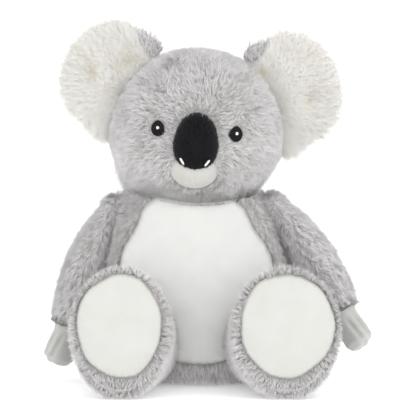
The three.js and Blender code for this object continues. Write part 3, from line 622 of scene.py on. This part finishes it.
def grow(name, body, skin, material, length, comb, keep, *, per_mm2, seed, lift=64, spread=0.95, clump_mm=2.4,
         clump=0.5, width=0.34, shade=0, specks=0.14, softness=0.72, trim=None, sort_axis=2):
    """Bent strands in tufts on a skin. length, lift and shade may be functions of the place."""
    rng = np.random.default_rng(seed)
    root, normal = scatter(*skin, per_mm2, rng)
    kept = keep(root, normal)
    root, normal = root[kept], normal[kept]
    count = len(root)
    size, rise = at_places(length, root), np.radians(at_places(lift, root))
    flow = comb(root)
    flow = unit(flow - np.einsum("ij,ij->i", flow, normal)[:, None] * normal)

    # Every strand leans towards the tip of the nearest tuft
    tufts = max(int(count / (per_mm2 * clump_mm**2)), 1)
    lead = rng.choice(count, tufts, replace=False)
    nearest = nearest_of(root[lead], root)
    sway = rng.normal(0, spread, (tufts, 2))
    tuft_rise = rise[lead] + rng.normal(0, 0.16, tufts)
    tuft_size = size[lead] * rng.uniform(0.85, 1.12, tufts)
    own = rng.normal(0, 0.3, (count, 2))
    size = size * rng.uniform(0.8, 1.1, count)
    stray = rng.random(count) < STRAYS
    size[stray] *= STRAY_LENGTH
    rise[stray] += STRAY_RISE
    middle, tip = bent_strands(root, normal, flow, rise, size, own, own[:, 1])
    lead_middle, lead_tip = bent_strands(root[lead], normal[lead], flow[lead], tuft_rise, tuft_size, sway,
                                         sway[:, 1] * 0.3)
    pull = (clump * rng.uniform(0.7, 1.15, count) * np.where(stray, 0.2, 1))[:, None]
    tip += (lead_tip[nearest] - tip) * np.clip(pull, 0, 0.96)
    middle += (lead_middle[nearest] - middle) * np.clip(pull * 0.45, 0, 0.9)
    tip += normal * rng.normal(0, 0.25, count)[:, None]
    if trim is not None:
        middle, tip = trim(middle), trim(tip)
    corners, lit = spikes(root, middle, tip, normal, width * rng.uniform(0.8, 1.25, count), softness)

    # Most tufts are pale, and a few show as darker specks
    tuft_tone = np.where(rng.random(tufts) < specks, 0.08, rng.uniform(0.45, 0.9, tufts))
    tone = np.clip(tuft_tone[nearest] + rng.normal(0, 0.12, count) + at_places(shade, root), 0.01, 0.99)
    along = np.broadcast_to([0.02] * 3 + [0.5] * 3 + [0.98], (count, CORNERS))
    uv = np.stack([np.repeat(tone[:, None], CORNERS, 1), along], -1)
    order = np.argsort(root[:, sort_axis], kind="stable")
    parts = max(1, math.ceil(count / PER_PIECE))
    for number, chosen in enumerate(np.array_split(order, parts), 1):
        base = np.arange(len(chosen))[:, None, None] * CORNERS
        sides = (base + [[0, 1, 4, 3], [1, 2, 5, 4], [2, 0, 3, 5]]).reshape(-1, 4)
        points = (base + [[3, 4, 6], [4, 5, 6], [5, 3, 6]]).reshape(-1, 3)
        label = name if parts == 1 else f"{name}_{number}"
        piece = mesh_object(label, corners[chosen].reshape(-1, 3), [sides, points], material,
                            uv[chosen].reshape(-1, 2), lit[chosen].reshape(-1, 3))
        settle(piece, body)


# Cloth and stuffing
def hide(name, body, grid, material, node, depth=HIDE_DEPTH, lowest=HIDE_FLOOR):
    """A closed padded form, this deep under the tips of the pile that grows on it."""
    points, faces, shown = closed_form(grid)
    inner = points - normals_of(points, faces) * depth
    inner[:, 2] = np.maximum(inner[:, 2], lowest)
    settle(mesh_object(name, inner, shown, material), body, node)
    return inner, faces


def stuffed(name, body, grid, skin_node, fill_node):
    """The cloth of a grey fur part, and a plainer inner copy of it as its stuffing."""
    skin = hide(f"{name}_hide", body, grid, GREY_HIDE, skin_node)
    hide(f"{name}_stuffing", body, grid[::3, ::4], FIBRE, fill_node, HIDE_DEPTH + HIDE_THICK, FLOOR)
    return skin


def panel(name, body, face, thick, material, node):
    """A closed velour pad: face(s) gives the rings of its front, from its middle at 0 to its edge at 1."""
    rings = np.linspace(0.02, 1, 46)
    front = [face(s) for s in rings]
    back = [face(s) + [0, thick * (1 if s < 1 else 0.4), 0] for s in rings[::-6]]
    points, _, shown = closed_form(np.stack(front + back))
    settle(mesh_object(name, points, shown, material), body, node)


# Outlines
def belly_outline(count=200):
    """The belly panel's edge in x and z, as a smooth closed curve."""
    half = np.array(BELLY_HALF) * [TORSO_WIDTH / 2, TORSO_HEIGHT]
    curve = np.concatenate([half, half[::-1] * [-1, 1]])
    for _ in range(3):
        after = np.roll(curve, -1, 0)
        curve = np.stack([curve * 0.75 + after * 0.25, curve * 0.25 + after * 0.75], 1).reshape(-1, 2)
    closed = np.concatenate([curve, curve[:1]])
    length = np.concatenate([[0], np.cumsum(size_of(np.diff(closed, axis=0)))])
    at = np.linspace(0, length[-1], count, endpoint=False)
    x, z = (np.interp(at, length, way) for way in closed.T)
    return np.stack([x + torso_middle(z), z], 1)


def within(outline, x, z):
    inside = np.zeros(len(x), bool)
    for (a, b), (c, d) in zip(outline, np.roll(outline, -1, 0)):
        if b != d:
            inside ^= ((b > z) != (d > z)) & (x < (c - a) * (z - b) / (d - b) + a)
    return inside


BELLY = belly_outline()
# The fur reaches a little over the edge of the belly panel
UNDER_FUR = BELLY.mean(0) + (BELLY - BELLY.mean(0)) * 0.965


def in_belly(p):
    return within(UNDER_FUR, p[:, 0], p[:, 2]) & (p[:, 1] < TORSO_Y)


def in_nose(q, grown):
    share = (q - NOSE_MIDDLE) / (NOSE_HALF + grown)
    share[:, 0] /= 1 - NOSE_NARROWING * np.clip(share[:, 2], -1, 1)
    return size_of(share) < 1


def in_muzzle(q, grown):
    return size_of((q - MUZZLE_MIDDLE) / (MUZZLE_HALF + grown)) < 1


def eye_distance(q):
    """How many half eye sizes places of the head lie from the nearer eye."""
    x = (np.abs(q[:, 0]) - EYE_ASIDE) / (EYE_WIDTH / 2)
    z = (q[:, 2] - EYE_ABOVE + HEAD_RISE) / (EYE_HEIGHT / 2)
    return np.where(q[:, 1] < 0, np.hypot(x, z), 99)


def sole_wobble(turn, side):
    """The sewn edge of a sole is not quite an oval."""
    return (1 + 0.013 * np.sin(3 * turn + 1.2 * side) + 0.012 * np.sin(5 * turn + 2 + side)
            + 0.006 * np.sin(9 * turn + side))


def from_foot(p):
    """How far aside of their own foot's middle points lie."""
    return p[:, 0] - TORSO_ASIDE - by_side({side: side * FOOT_ASIDE[side] for side, _ in SIDES}, p)


def from_sole(p, grown=0.0):
    """How far points lie from the middle of a sole, in half sizes of it."""
    return (from_foot(p) / (by_side(SOLE_WIDTH, p) / 2 + grown),
            (p[:, 2] - SOLE_MIDDLE) / (SOLE_HEIGHT / 2 + grown))


def in_sole(p, grown):
    x, z = from_sole(p, grown)
    edge = sole_wobble(np.arctan2(z, x), by_side({LEFT: LEFT, RIGHT: RIGHT}, p))
    return (np.hypot(x, z) < edge) & (p[:, 1] < FOOT_FRONT + 14)


def in_legs(p, margin):
    share = (LEG_BACK - p[:, 1]) / LEG_LENGTH
    along = np.clip(share, 0, 1)
    w, h = interpolate(LEG_ROWS, along).T
    w, h = by_side(FOOT_WIDTH, p) / 2 * w - margin, FOOT_HEIGHT / 2 * h
    x = np.abs(p[:, 0] - TORSO_ASIDE) - (HIP_ASIDE + (by_side(FOOT_ASIDE, p) - HIP_ASIDE) * along)
    return (share > 0) & (share < 1) & (np.hypot(x / w, (p[:, 2] - h) / (h - margin)) < 1)


# Torso
torso_skin = stuffed("body", "torso", torso_grid(), "body_skin", "body_fill")


def from_shoulder(p):
    return np.min([size_of(p - shoulder_frame(side)[1]) for side, _ in SIDES], axis=0)


def body_keep(p, n):
    return ~(in_belly(p) | in_legs(p, 4) | (n[:, 2] < -0.75) | (size_of(p - HEAD_PIVOT) < HEAD_BALL + 6)
             | (from_shoulder(p) < ARM_BALL + 5))


def body_comb(p):
    """Down, and a little in towards the middle of the front and the back."""
    x = aside(p)
    return np.stack([-0.3 * x / 100, 0.2 * (p[:, 1] - TORSO_Y) / 80, 0 * x - 1], 1)


def body_length(p):
    """Longer round the shoulders and beside the neck, over the seams."""
    shoulder = 1 - ease(from_shoulder(p), 24, 38)
    return BODY_PILE + 4 * shoulder + 7 * ease(np.abs(aside(p)), 45, 60) * ease(p[:, 2], 176, 194)


grow("body_fur", "torso", torso_skin, GREY_FUR, body_length, body_comb, body_keep, per_mm2=1.15, seed=11,
     trim=above_floor, shade=lambda p: 0.12 * waves(p, 60, 5), sort_axis=0)


def belly_face(s):
    centre = np.array([torso_middle(BELLY_MIDDLE), BELLY_MIDDLE])
    x, z = (centre + (BELLY - centre) * s).T
    tuck = 5.5 * ease(s, 0.93, 1.0) * (1 - ease(z, 182, 198))
    turn = turns(len(x))
    pucker = 0.5 * ease(s, 0.8, 0.95) * np.sin(turn * 47 + 3 * np.sin(turn * 5))
    soft = 1.6 * waves(np.stack([x, 0 * x, z], 1), 95, 21)
    p = np.stack([x, torso_front(x, z, 2.6) + tuck + pucker - soft * (1 - s**4), z], 1)
    # The top edge follows the round of the neck's cup
    radial = np.hypot(*(p - HEAD_PIVOT)[:, :2].T)
    low = HEAD_PIVOT[2] - np.sqrt(np.maximum((NECK_CUP + 1) ** 2 - radial**2, 0))
    p[:, 2] = np.where(radial < NECK_CUP, np.minimum(z, low), z)
    return p


panel("belly_pad", "torso", belly_face, 2.2, WHITE_VELOUR, "belly_panel")

# Head
head_skin = stuffed("head", "head", head_grid(), "head_skin", "head_fill")


def head_keep(p, n):
    q = to_head(p)
    under = (q[:, 2] < -80) & (q[:, 1] > -12) | (q[:, 2] < -88)
    return ~(in_nose(q, -1) | in_muzzle(q, -1) | (eye_distance(q) < 1.02) | under)


def head_length(p):
    """Short at the nose and the eyes, long on the cheek, the chin and the nape."""
    q = to_head(p)
    near_nose = np.where(in_nose(q, 7) | in_muzzle(q, 5), 0.62, 1)
    near_eye = 0.45 + 0.55 * ease(eye_distance(q), 1.0, 2.4)
    return (HEAD_PILE * near_nose * near_eye * (1 + 0.75 * left_cheek(q))
            * (1 + 0.85 * chin(q) + 0.7 * nape(q)))


def left_cheek(q):
    return np.exp(-((q[:, 0] + 66) / 24) ** 2 - ((q[:, 2] + 66) / 17) ** 2)


def chin(q):
    return ease(-q[:, 2], 58, 76) * ease(-q[:, 1], -10, 20)


def nape(q):
    """The low back of the head, over the neck seam."""
    return ease(-q[:, 2], 44, 66) * ease(q[:, 1], -20, 10)


def head_lift(p):
    q = to_head(p)
    brow = np.exp(-(q[:, 0] / 62) ** 2 - ((q[:, 2] - 14) / 42) ** 2)
    return 66 + 12 * brow + 12 * chin(q) + 2 * left_cheek(q) - 18 * nape(q)


def head_comb(p):
    """Away from the nose, in waves, and further out forwards and down."""
    q = to_head(p)
    away = unit(q - [0, -92, NOSE_MIDDLE[2]])
    far = 0.5 * ease(np.hypot(q[:, 0], q[:, 2] - NOSE_MIDDLE[2]), 26, 46)[:, None]
    away = away * (1 - far) + far * [0, -0.6, -0.5]
    away[:, 0] += 0.5 * waves(q, 30, 61)
    away[:, 2] += 0.5 * waves(q, 26, 62) - 1.2 * nape(q)
    away += left_cheek(q)[:, None] * [-0.8, 0, -0.8] + chin(q)[:, None] * [0, -0.9, 0]
    return away @ HEAD_AXES.T


def head_shade(p):
    q = to_head(p)
    brow = np.exp(-((q[:, 0] - 22) / 34) ** 2 - ((q[:, 2] - 8) / 32) ** 2)
    # Painted light: the head's fur is a little lighter than the body's, and lighter still under the chin,
    # where the lamps leave shade
    return 0.1 * waves(p, 50, 6) - 0.18 * brow + 0.1 + 0.25 * chin(q)


grow("head_fur", "head", head_skin, GREY_FUR, head_length, head_comb, head_keep, per_mm2=1.5, seed=12,
     lift=head_lift, clump_mm=1.8, clump=0.56, shade=head_shade, sort_axis=0)


def egg_grid(centre, half, narrowing=0.0, rows=48, around=72, groove=0.0):
    """An egg, narrower on top, with a groove down its front."""
    polar = np.linspace(0.03, 0.97, rows)[:, None] * math.pi
    angle = turns(around)
    t = -np.cos(polar)
    x = np.sin(polar) * np.cos(angle) * half[0] * (1 - narrowing * t)
    y = np.sin(polar) * np.sin(angle) * half[1]
    y = y + groove * np.exp(-(x / 1.4) ** 2) * (y < 0)
    return to_world(np.stack([x, y, 0 * x + t * half[2]], -1) + centre)


nose_skin = hide("nose", "head", egg_grid(NOSE_MIDDLE, NOSE_HALF, NOSE_NARROWING), BLACK_PLUSH, "nose_pad",
                 depth=1.4)
grow("nose_pile", "head", nose_skin, BLACK_PILE,
     lambda p: 1.6 + 3.4 * ease(to_head(p)[:, 2] - NOSE_MIDDLE[2], 6, 24),
     lambda p: ((to_head(p) - NOSE_MIDDLE) * [1, 0, 1.4]) @ HEAD_AXES.T,
     lambda p, n: ~inside_head(p, 3) & (n[:, 1] < 0.35), per_mm2=1.1, seed=13, lift=58, width=0.5)
muzzle_grid = egg_grid(MUZZLE_MIDDLE, MUZZLE_HALF, groove=1.0, rows=72, around=120)
hide("muzzle_pad", "head", muzzle_grid, MUZZLE_VELOUR, "muzzle", depth=0.0)


def tubes(name, paths, radius, material, node, closed=False):
    """Threads of the face: a thin tube along each path, closed or with narrow ends."""
    verts, quads, ends = [], [], []
    j, angle = np.arange(TUBE_SIDES), turns(TUBE_SIDES)
    for path in paths:
        count, base = len(path), sum(map(len, verts))
        tangent = np.roll(path, -1, 0) - np.roll(path, 1, 0)
        size = np.full(count, radius)
        if not closed:
            tangent[0], tangent[-1] = path[1] - path[0], path[-1] - path[-2]
            from_end = np.minimum(np.arange(count), np.arange(count)[::-1])
            size = radius * np.sqrt(np.clip(from_end + 0.25, 0, 1))
            ends += [base + j[::-1], base + (count - 1) * TUBE_SIDES + j]
        tangent = unit(tangent)
        normal = [0, -1.0, 0] if closed else unit(np.cross(tangent, [0.3, 0.2, 1.0]))
        side = unit(np.cross(tangent, normal))
        normal = np.cross(side, tangent)
        ring = np.cos(angle)[:, None] * side[:, None] + np.sin(angle)[:, None] * normal[:, None]
        verts.append((path[:, None] + size[:, None, None] * ring).reshape(-1, 3))
        quads.append(lattice(count, TUBE_SIDES, wrap=closed, first=base))
    faces = [np.concatenate(quads)] + ([np.array(ends)] if ends else [])
    settle(mesh_object(name, np.concatenate(verts), faces, material), "head", node)


def head_front(x, z, proud):
    half_w, half_d = head_profile(HEAD_HALF_WIDTH, z), head_profile(HEAD_HALF_DEPTH, z)
    y = -half_d * np.sqrt(np.maximum(0, 1 - (x / half_w) ** 2))
    normal = unit(np.stack([x / half_w**2, y / half_d**2, (z + HEAD_RISE) / HEAD_TOP**2], -1))
    return to_world(np.stack([x, y, z], -1) + normal * np.reshape(proud, (-1, 1)))


def eye_edge(side, count=72):
    """An oval with a corner drawn out towards the nose."""
    turn = turns(count)
    corner = math.radians(-32 if side == LEFT else -8)
    gap = (turn - corner + math.pi) % TAU - math.pi
    reach = 1 + 0.2 * np.exp(-(gap / 0.3) ** 2)
    x = EYE_WIDTH / 2 * np.cos(turn) * reach * (1 - 0.26 * np.maximum(np.sin(turn), 0) ** 1.5)
    z = EYE_HEIGHT / 2 * np.sin(turn) * reach
    return np.stack([-side * x, z], 1)


def stitch_eye(side, name):
    edge = eye_edge(side)
    rng = np.random.default_rng(30 + side)
    rings = []
    for share in np.linspace(0.06, 0.97, 13):
        uneven = rng.normal(0, 0.03, edge.shape)
        x, z = (np.array([side * EYE_ASIDE, EYE_ABOVE - HEAD_RISE]) + edge * share + uneven).T
        rings.append(head_front(x, z, 0.2 + 0.9 * (1 - share**2)))
    tubes(f"eye_{name}_stitches", rings, 0.36, BLACK_THREAD, f"eye_{name}", closed=True)


def stitch_glint(side, name):
    x, z = side * EYE_ASIDE + 0.4, EYE_ABOVE - HEAD_RISE + 0.5
    bars = []
    for across in np.linspace(-1.2, 1.2, 7):
        half = math.sqrt(GLINT_RADIUS**2 - across**2)
        line = np.linspace(-half, half, 7)
        bars.append(head_front(x + line, np.full(7, z + across), 1.25 + 0.25 * (1 - (line / 1.6) ** 2)))
    tubes(f"eye_glint_{name}_stitches", bars, 0.24, WHITE_THREAD, f"eye_glint_{name}")


def stitch_nostril(side, name):
    tilt = -side * NOSTRIL_TILT
    bars = []
    for across in np.linspace(-0.75, 0.75, 5):
        half = NOSTRIL_HALF * math.sqrt(1 - (across / 1.1) ** 2)
        along = np.linspace(-half, half, 12)
        x = side * NOSTRIL_ASIDE + across * math.cos(tilt) - along * math.sin(tilt)
        z = NOSE_MIDDLE[2] - NOSTRIL_BELOW + across * math.sin(tilt) + along * math.cos(tilt)
        t = (z - NOSE_MIDDLE[2]) / NOSE_HALF[2]
        wide = NOSE_HALF[0] * (1 - NOSE_NARROWING * t)
        y = -NOSE_FORWARD - NOSE_HALF[1] * np.sqrt(np.maximum(0, 1 - (x / wide) ** 2 - t**2)) - 0.9
        y -= 0.3 * (1 - (along / (half + 0.3)) ** 2)
        bars.append(to_world(np.stack([x, y, z], 1)))
    tubes(f"nostril_{name}_stitches", bars, 0.3, WHITE_THREAD, f"nostril_stitch_{name}")


for side, name in SIDES:
    for stitch in (stitch_eye, stitch_glint, stitch_nostril):
        stitch(side, name)


def seam_ring(name, body, centre, axis, ball, inner, outer, node, around=160, sides=20):
    """A rolled, gathered seam allowance round a ball."""
    one = unit(np.cross(axis, [0.3, 1.0, 0.2]))
    two = np.cross(axis, one)
    turn, roll = turns(around), turns(sides)[:, None]
    low, high = math.asin(inner / ball), math.asin(outer / ball)
    gather = 0.16 * np.sin(turn * 46 + 2 * np.sin(turn * 5))
    polar = (low + high) / 2 + (high - low) / 2 * 0.96 * np.cos(roll)
    reach = ball + 1.8 + (1.0 + gather) * np.sin(roll)
    flat = (reach * np.sin(polar))[..., None] * (np.cos(turn)[:, None] * one + np.sin(turn)[:, None] * two)
    points = flat + (reach * np.cos(polar))[..., None] * axis + centre
    quads = lattice(sides, around, wrap=True)[:, ::-1]
    settle(mesh_object(name, points.reshape(-1, 3), [quads], SEAM_CLOTH), body, node)


seam_ring("neck_rolled_seam", "neck", HEAD_PIVOT, np.array([0, 0, -1.0]), HEAD_BALL, 28, 38, "neck_seam")
for side, name in SIDES:
    axes, centre = shoulder_frame(side)
    seam_ring(f"shoulder_{name}_rolled_seam", f"shoulder_{name}", centre, -axes[:, 0], ARM_BALL, 5, 9.5,
              f"shoulder_seam_{name}")


# Ears
def in_corner(q):
    return q[:, 1] > corner_line(q[:, 0]) - 3


def rim_share(q):
    """How far out places of an ear lie: 0.5 is its rim."""
    return np.hypot((q[:, 0] - EAR_OUT) / EAR_REACH, (q[:, 1] - EAR_UP) / EAR_HEIGHT)


def ear(side, name):
    axes, root = ear_frame(side)
    body = f"ear_{name}"
    forward = HEAD_AXES @ np.array([0, -1.0, 0])

    def local(p):
        return (to_head(p) - root) @ axes

    def comb(p):
        q = local(p) - [12, 6, 0]
        q[:, 2] = 0
        return (unit(q) + [0.25, -0.15, 0]) @ axes.T @ HEAD_AXES.T

    def white_length(p):
        q = local(p)
        rim = ease(rim_share(q), 0.2, 0.45)
        at_corner = ease(q[:, 1] - corner_line(q[:, 0]), -9, -1) * (1 - ease(q[:, 0], 22, 36))
        dent = np.minimum(dimple(side, q[:, 0], q[:, 1], 9), 1)
        return (9 + 9 * rim) * (1 - 0.35 * dent) * (1 - 0.7 * at_corner)

    def white_shade(p):
        q = local(p)
        # Painted shade: darker in the dimples and along the root, where the ear meets the head
        return (0.3 - 0.9 * dimple(side, q[:, 0], q[:, 1], 6) - 0.5 * ease(-q[:, 0], -9, -2)
                + 0.25 * waves(p * [1, 0.3, 1], 22, 9))

    def grey_keep(p, n):
        q = local(p)
        return in_corner(q) & (q[:, 0] < 36) | (n @ forward < 0.1)

    def fringe_keep(p, n):
        q = local(p)
        return (rim_share(q) > 0.34) & ~in_corner(q) & (q[:, 0] > 4)

    front = hide(f"ear_front_{name}_hide", body, ear_grid(side, True, EAR_TRIM[side]), WHITE_HIDE,
                 f"ear_front_{name}", depth=0.0)
    back = hide(f"ear_back_{name}_hide", body, ear_grid(side, False, EAR_BACK_TRIM), GREY_HIDE,
                f"ear_back_{name}", depth=0.0)
    grow(f"ear_white_{name}", body, front, WHITE_FUR, white_length, comb, lambda p, n: n @ forward > -0.1,
         per_mm2=2.9, seed=40 + side, lift=28, spread=0.5, clump_mm=2.3, clump=0.66, width=0.3,
         shade=white_shade, specks=0, softness=0.97)
    grow(f"ear_grey_{name}", body, back, GREY_FUR, lambda p: 6 + 2 * in_corner(local(p)), comb, grey_keep,
         per_mm2=1.4, seed=50 + side, lift=50, shade=lambda p: 0.3 * in_corner(local(p)), specks=0.04,
         softness=0.97)
    grow(f"ear_fringe_{name}", body, back, WHITE_FUR, 12, comb, fringe_keep, per_mm2=1.5, seed=55 + side,
         lift=26, spread=0.5, clump=0.6, width=0.3, shade=0.3, specks=0, softness=0.8)


# Arms
def inner_top(q):
    """Where the arm meets the shoulder's top, under longer pile."""
    return ease(q[:, 2], -18, 2) * ease(-q[:, 0], -6, 5)


def paw_folds(grid):
    """Two folds run down the front of a paw and notch its end."""
    x, y, down = grid[..., 0], grid[..., 1], -grid[..., 2] - SLEEVE
    front = ease(down, 4, 16) * (1 - ease(down, PAW - 14, PAW - 3))
    end = ease(down, PAW - 12, PAW)
    for place, deep in ((2.0, 0.14), (11.0, 0.2)):
        groove = deep * np.exp(-((x - place - 0.12 * down) / 2.4) ** 2)
        y = y * (1 - groove * front)
        down = down - 10 * groove * end
    return np.stack([x, y, -down - SLEEVE], -1)


def arm(side, name):
    axes, centre = arm_frame(side)
    body = f"arm_{name}"
    grid = sleeve_grid(SLEEVE_ROWS, 0, SLEEVE, 88, dome=True) @ axes.T + centre
    skin = stuffed(body, body, grid, f"arm_skin_{name}", f"arm_fill_{name}")

    def local(p):
        return (p - centre) @ axes

    def keep(p, n):
        return ~inside_torso(p, -2) & (local(p)[:, 2] >= -SLEEVE + 1.5)

    def comb(p):
        q = local(p)
        down = np.stack([0.25 * np.sign(q[:, 0]), 0.25 * q[:, 1] / ARM_BALL, np.full(len(p), -1.0)], 1)
        return (down + inner_top(q)[:, None] * [-1.2, 0, 1.3]) @ axes.T

    def length(p):
        q = local(p)
        top = 7 * inner_top(q) - 2 * ease(q[:, 2], -12, 8) * (q[:, 0] > 0)
        return BODY_PILE + top - 5 * ease(-q[:, 2], SLEEVE - 16, SLEEVE)

    # Painted light: the arms' fur is lighter than the body's, to make up for the shade that falls on the arms
    grow(f"arm_fur_{name}", body, skin, GREY_FUR, length, comb, keep, per_mm2=1.35, seed=60 + side, lift=50,
         clump_mm=3.0, trim=above_floor, softness=0.86, shade=lambda p: 0.26 + 0.14 * waves(p, 40, 7))
    paw = paw_folds(sleeve_grid(PAW_ROWS, SLEEVE, PAW, 120)) @ axes.T + centre
    hide(f"paw_{name}_pad", body, paw, GREY_VELOUR, f"paw_{name}", depth=0.0)


# Legs
def leg_comb(p):
    """Out from the foot's middle and back, in swirls."""
    x = 0.6 * from_foot(p) / 48 + 0.35 * waves(p, 30, 81)
    z = 0.6 * (p[:, 2] - FOOT_HEIGHT / 2) / 60 + 0.35 * waves(p, 30, 82) - 0.1
    return np.stack([x, 0 * x + 0.45, z], 1)


def leg_shade(p):
    """Painted light: a little lighter than the body's fur, against the shade on the legs. Darker in the seam
    round the sole.
    """
    at_seam = np.exp(-((np.hypot(*from_sole(p)) - 1.0) / 0.035) ** 2) * (p[:, 1] < FOOT_FRONT + 12)
    return 0.16 + 0.1 * waves(p, 50, 8) - 0.5 * at_seam


def sole_face(s, side):
    turn = turns(180)
    reach = s * sole_wobble(turn, side)
    x = TORSO_ASIDE + side * FOOT_ASIDE[side] + SOLE_WIDTH[side] / 2 * reach * np.cos(turn)
    z = SOLE_MIDDLE + SOLE_HEIGHT / 2 * reach * np.sin(turn)
    soft = 0.8 * waves(np.stack([x, 0 * x, z], 1), 55, 90 + side) * (1 - s**4)
    pucker = 0.35 * ease(s, 0.8, 0.95) * np.sin(turn * 41 + 2.5 * np.sin(turn * 6 + side))
    dome = SOLE_DOME * (1 - s**2.6)
    y = FOOT_FRONT + SOLE_INSET - dome + 3.0 * ease(s, 0.94, 1) + pucker - soft
    return np.stack([x, y, z], 1)


def leg(side, name):
    body = f"leg_{name}"
    skin = stuffed(body, body, leg_grid(side), f"leg_skin_{name}", f"leg_fill_{name}")
    grow(f"leg_fur_{name}", body, skin, GREY_FUR, LEG_PILE, leg_comb,
         lambda p, n: ~(in_sole(p, -1.0) | inside_torso(p, 3)), per_mm2=1.6, seed=70 + side, lift=66,
         spread=0.6, clump_mm=2.2, clump=0.4, shade=leg_shade, specks=0.08, softness=0.84, trim=above_floor,
         sort_axis=1)
    panel(f"sole_{name}_pad", body, lambda s: sole_face(s, side), 2.5, SHADED_SOLE_VELOUR, f"sole_{name}")


for build in (ear, arm, leg):
    for side, name in SIDES:
        build(side, name)

# Camera, floor and light
LOOK_AT, DISTANCE, ELEVATION = Vector((0, 0, 0.178)), 4.0, math.radians(5)
SENSOR, PICTURE_WIDTH = 36, 0.416   # millimetres, and metres at the toy
FLOOR_HALF = 12000
LAMPS = (   # name, place, size and power
    ("key", (1.4, -1.6, 1.6), 1.3, 9),
    ("fill", (-1.5, -1.5, 1.2), 1.8, 4),
    ("front", (0.1, -3.0, 0.3), 2.2, 30),
    ("top", (0.2, 0.3, 2.2), 1.6, 4),
)
scene = bpy.context.scene
camera = add_object("camera", bpy.data.cameras.new("camera"))
camera.location = LOOK_AT + DISTANCE * Vector((0, -math.cos(ELEVATION), math.sin(ELEVATION)))
camera.rotation_euler = (math.pi / 2 - ELEVATION, 0, 0)
camera.data.sensor_width = SENSOR
camera.data.lens = SENSOR * DISTANCE / PICTURE_WIDTH
scene.camera = camera

floor_material, tree, shader = new_material("floor", 0.9)
set_inputs(tree, shader, {"Base Color": (0.97, 0.97, 0.97, 1), "Emission Color": (1, 1, 1, 1),
                          "Emission Strength": 0.3})
corners = FLOOR_HALF * np.array([[-1, -1, 0], [1, -1, 0], [1, 1, 0], [-1, 1, 0]])
floor = mesh_object("floor", corners, [np.array([[0, 1, 2, 3]])], floor_material)

world = bpy.data.worlds.new("studio")
scene.world = world
world.use_nodes = True
set_inputs(world.node_tree, world.node_tree.nodes["Background"], {"Color": (1, 1, 1, 1), "Strength": 1.05})
for name, place, size, power in LAMPS:
    light = bpy.data.lights.new(name, "AREA")
    light.energy = power
    light.size = size
    lamp = add_object(name, light)
    lamp.location = place
    lamp.rotation_euler = (Vector((0, 0, 0.18)) - Vector(place)).to_track_quat("-Z", "Y").to_euler()
scene.view_settings.view_transform = "Standard"
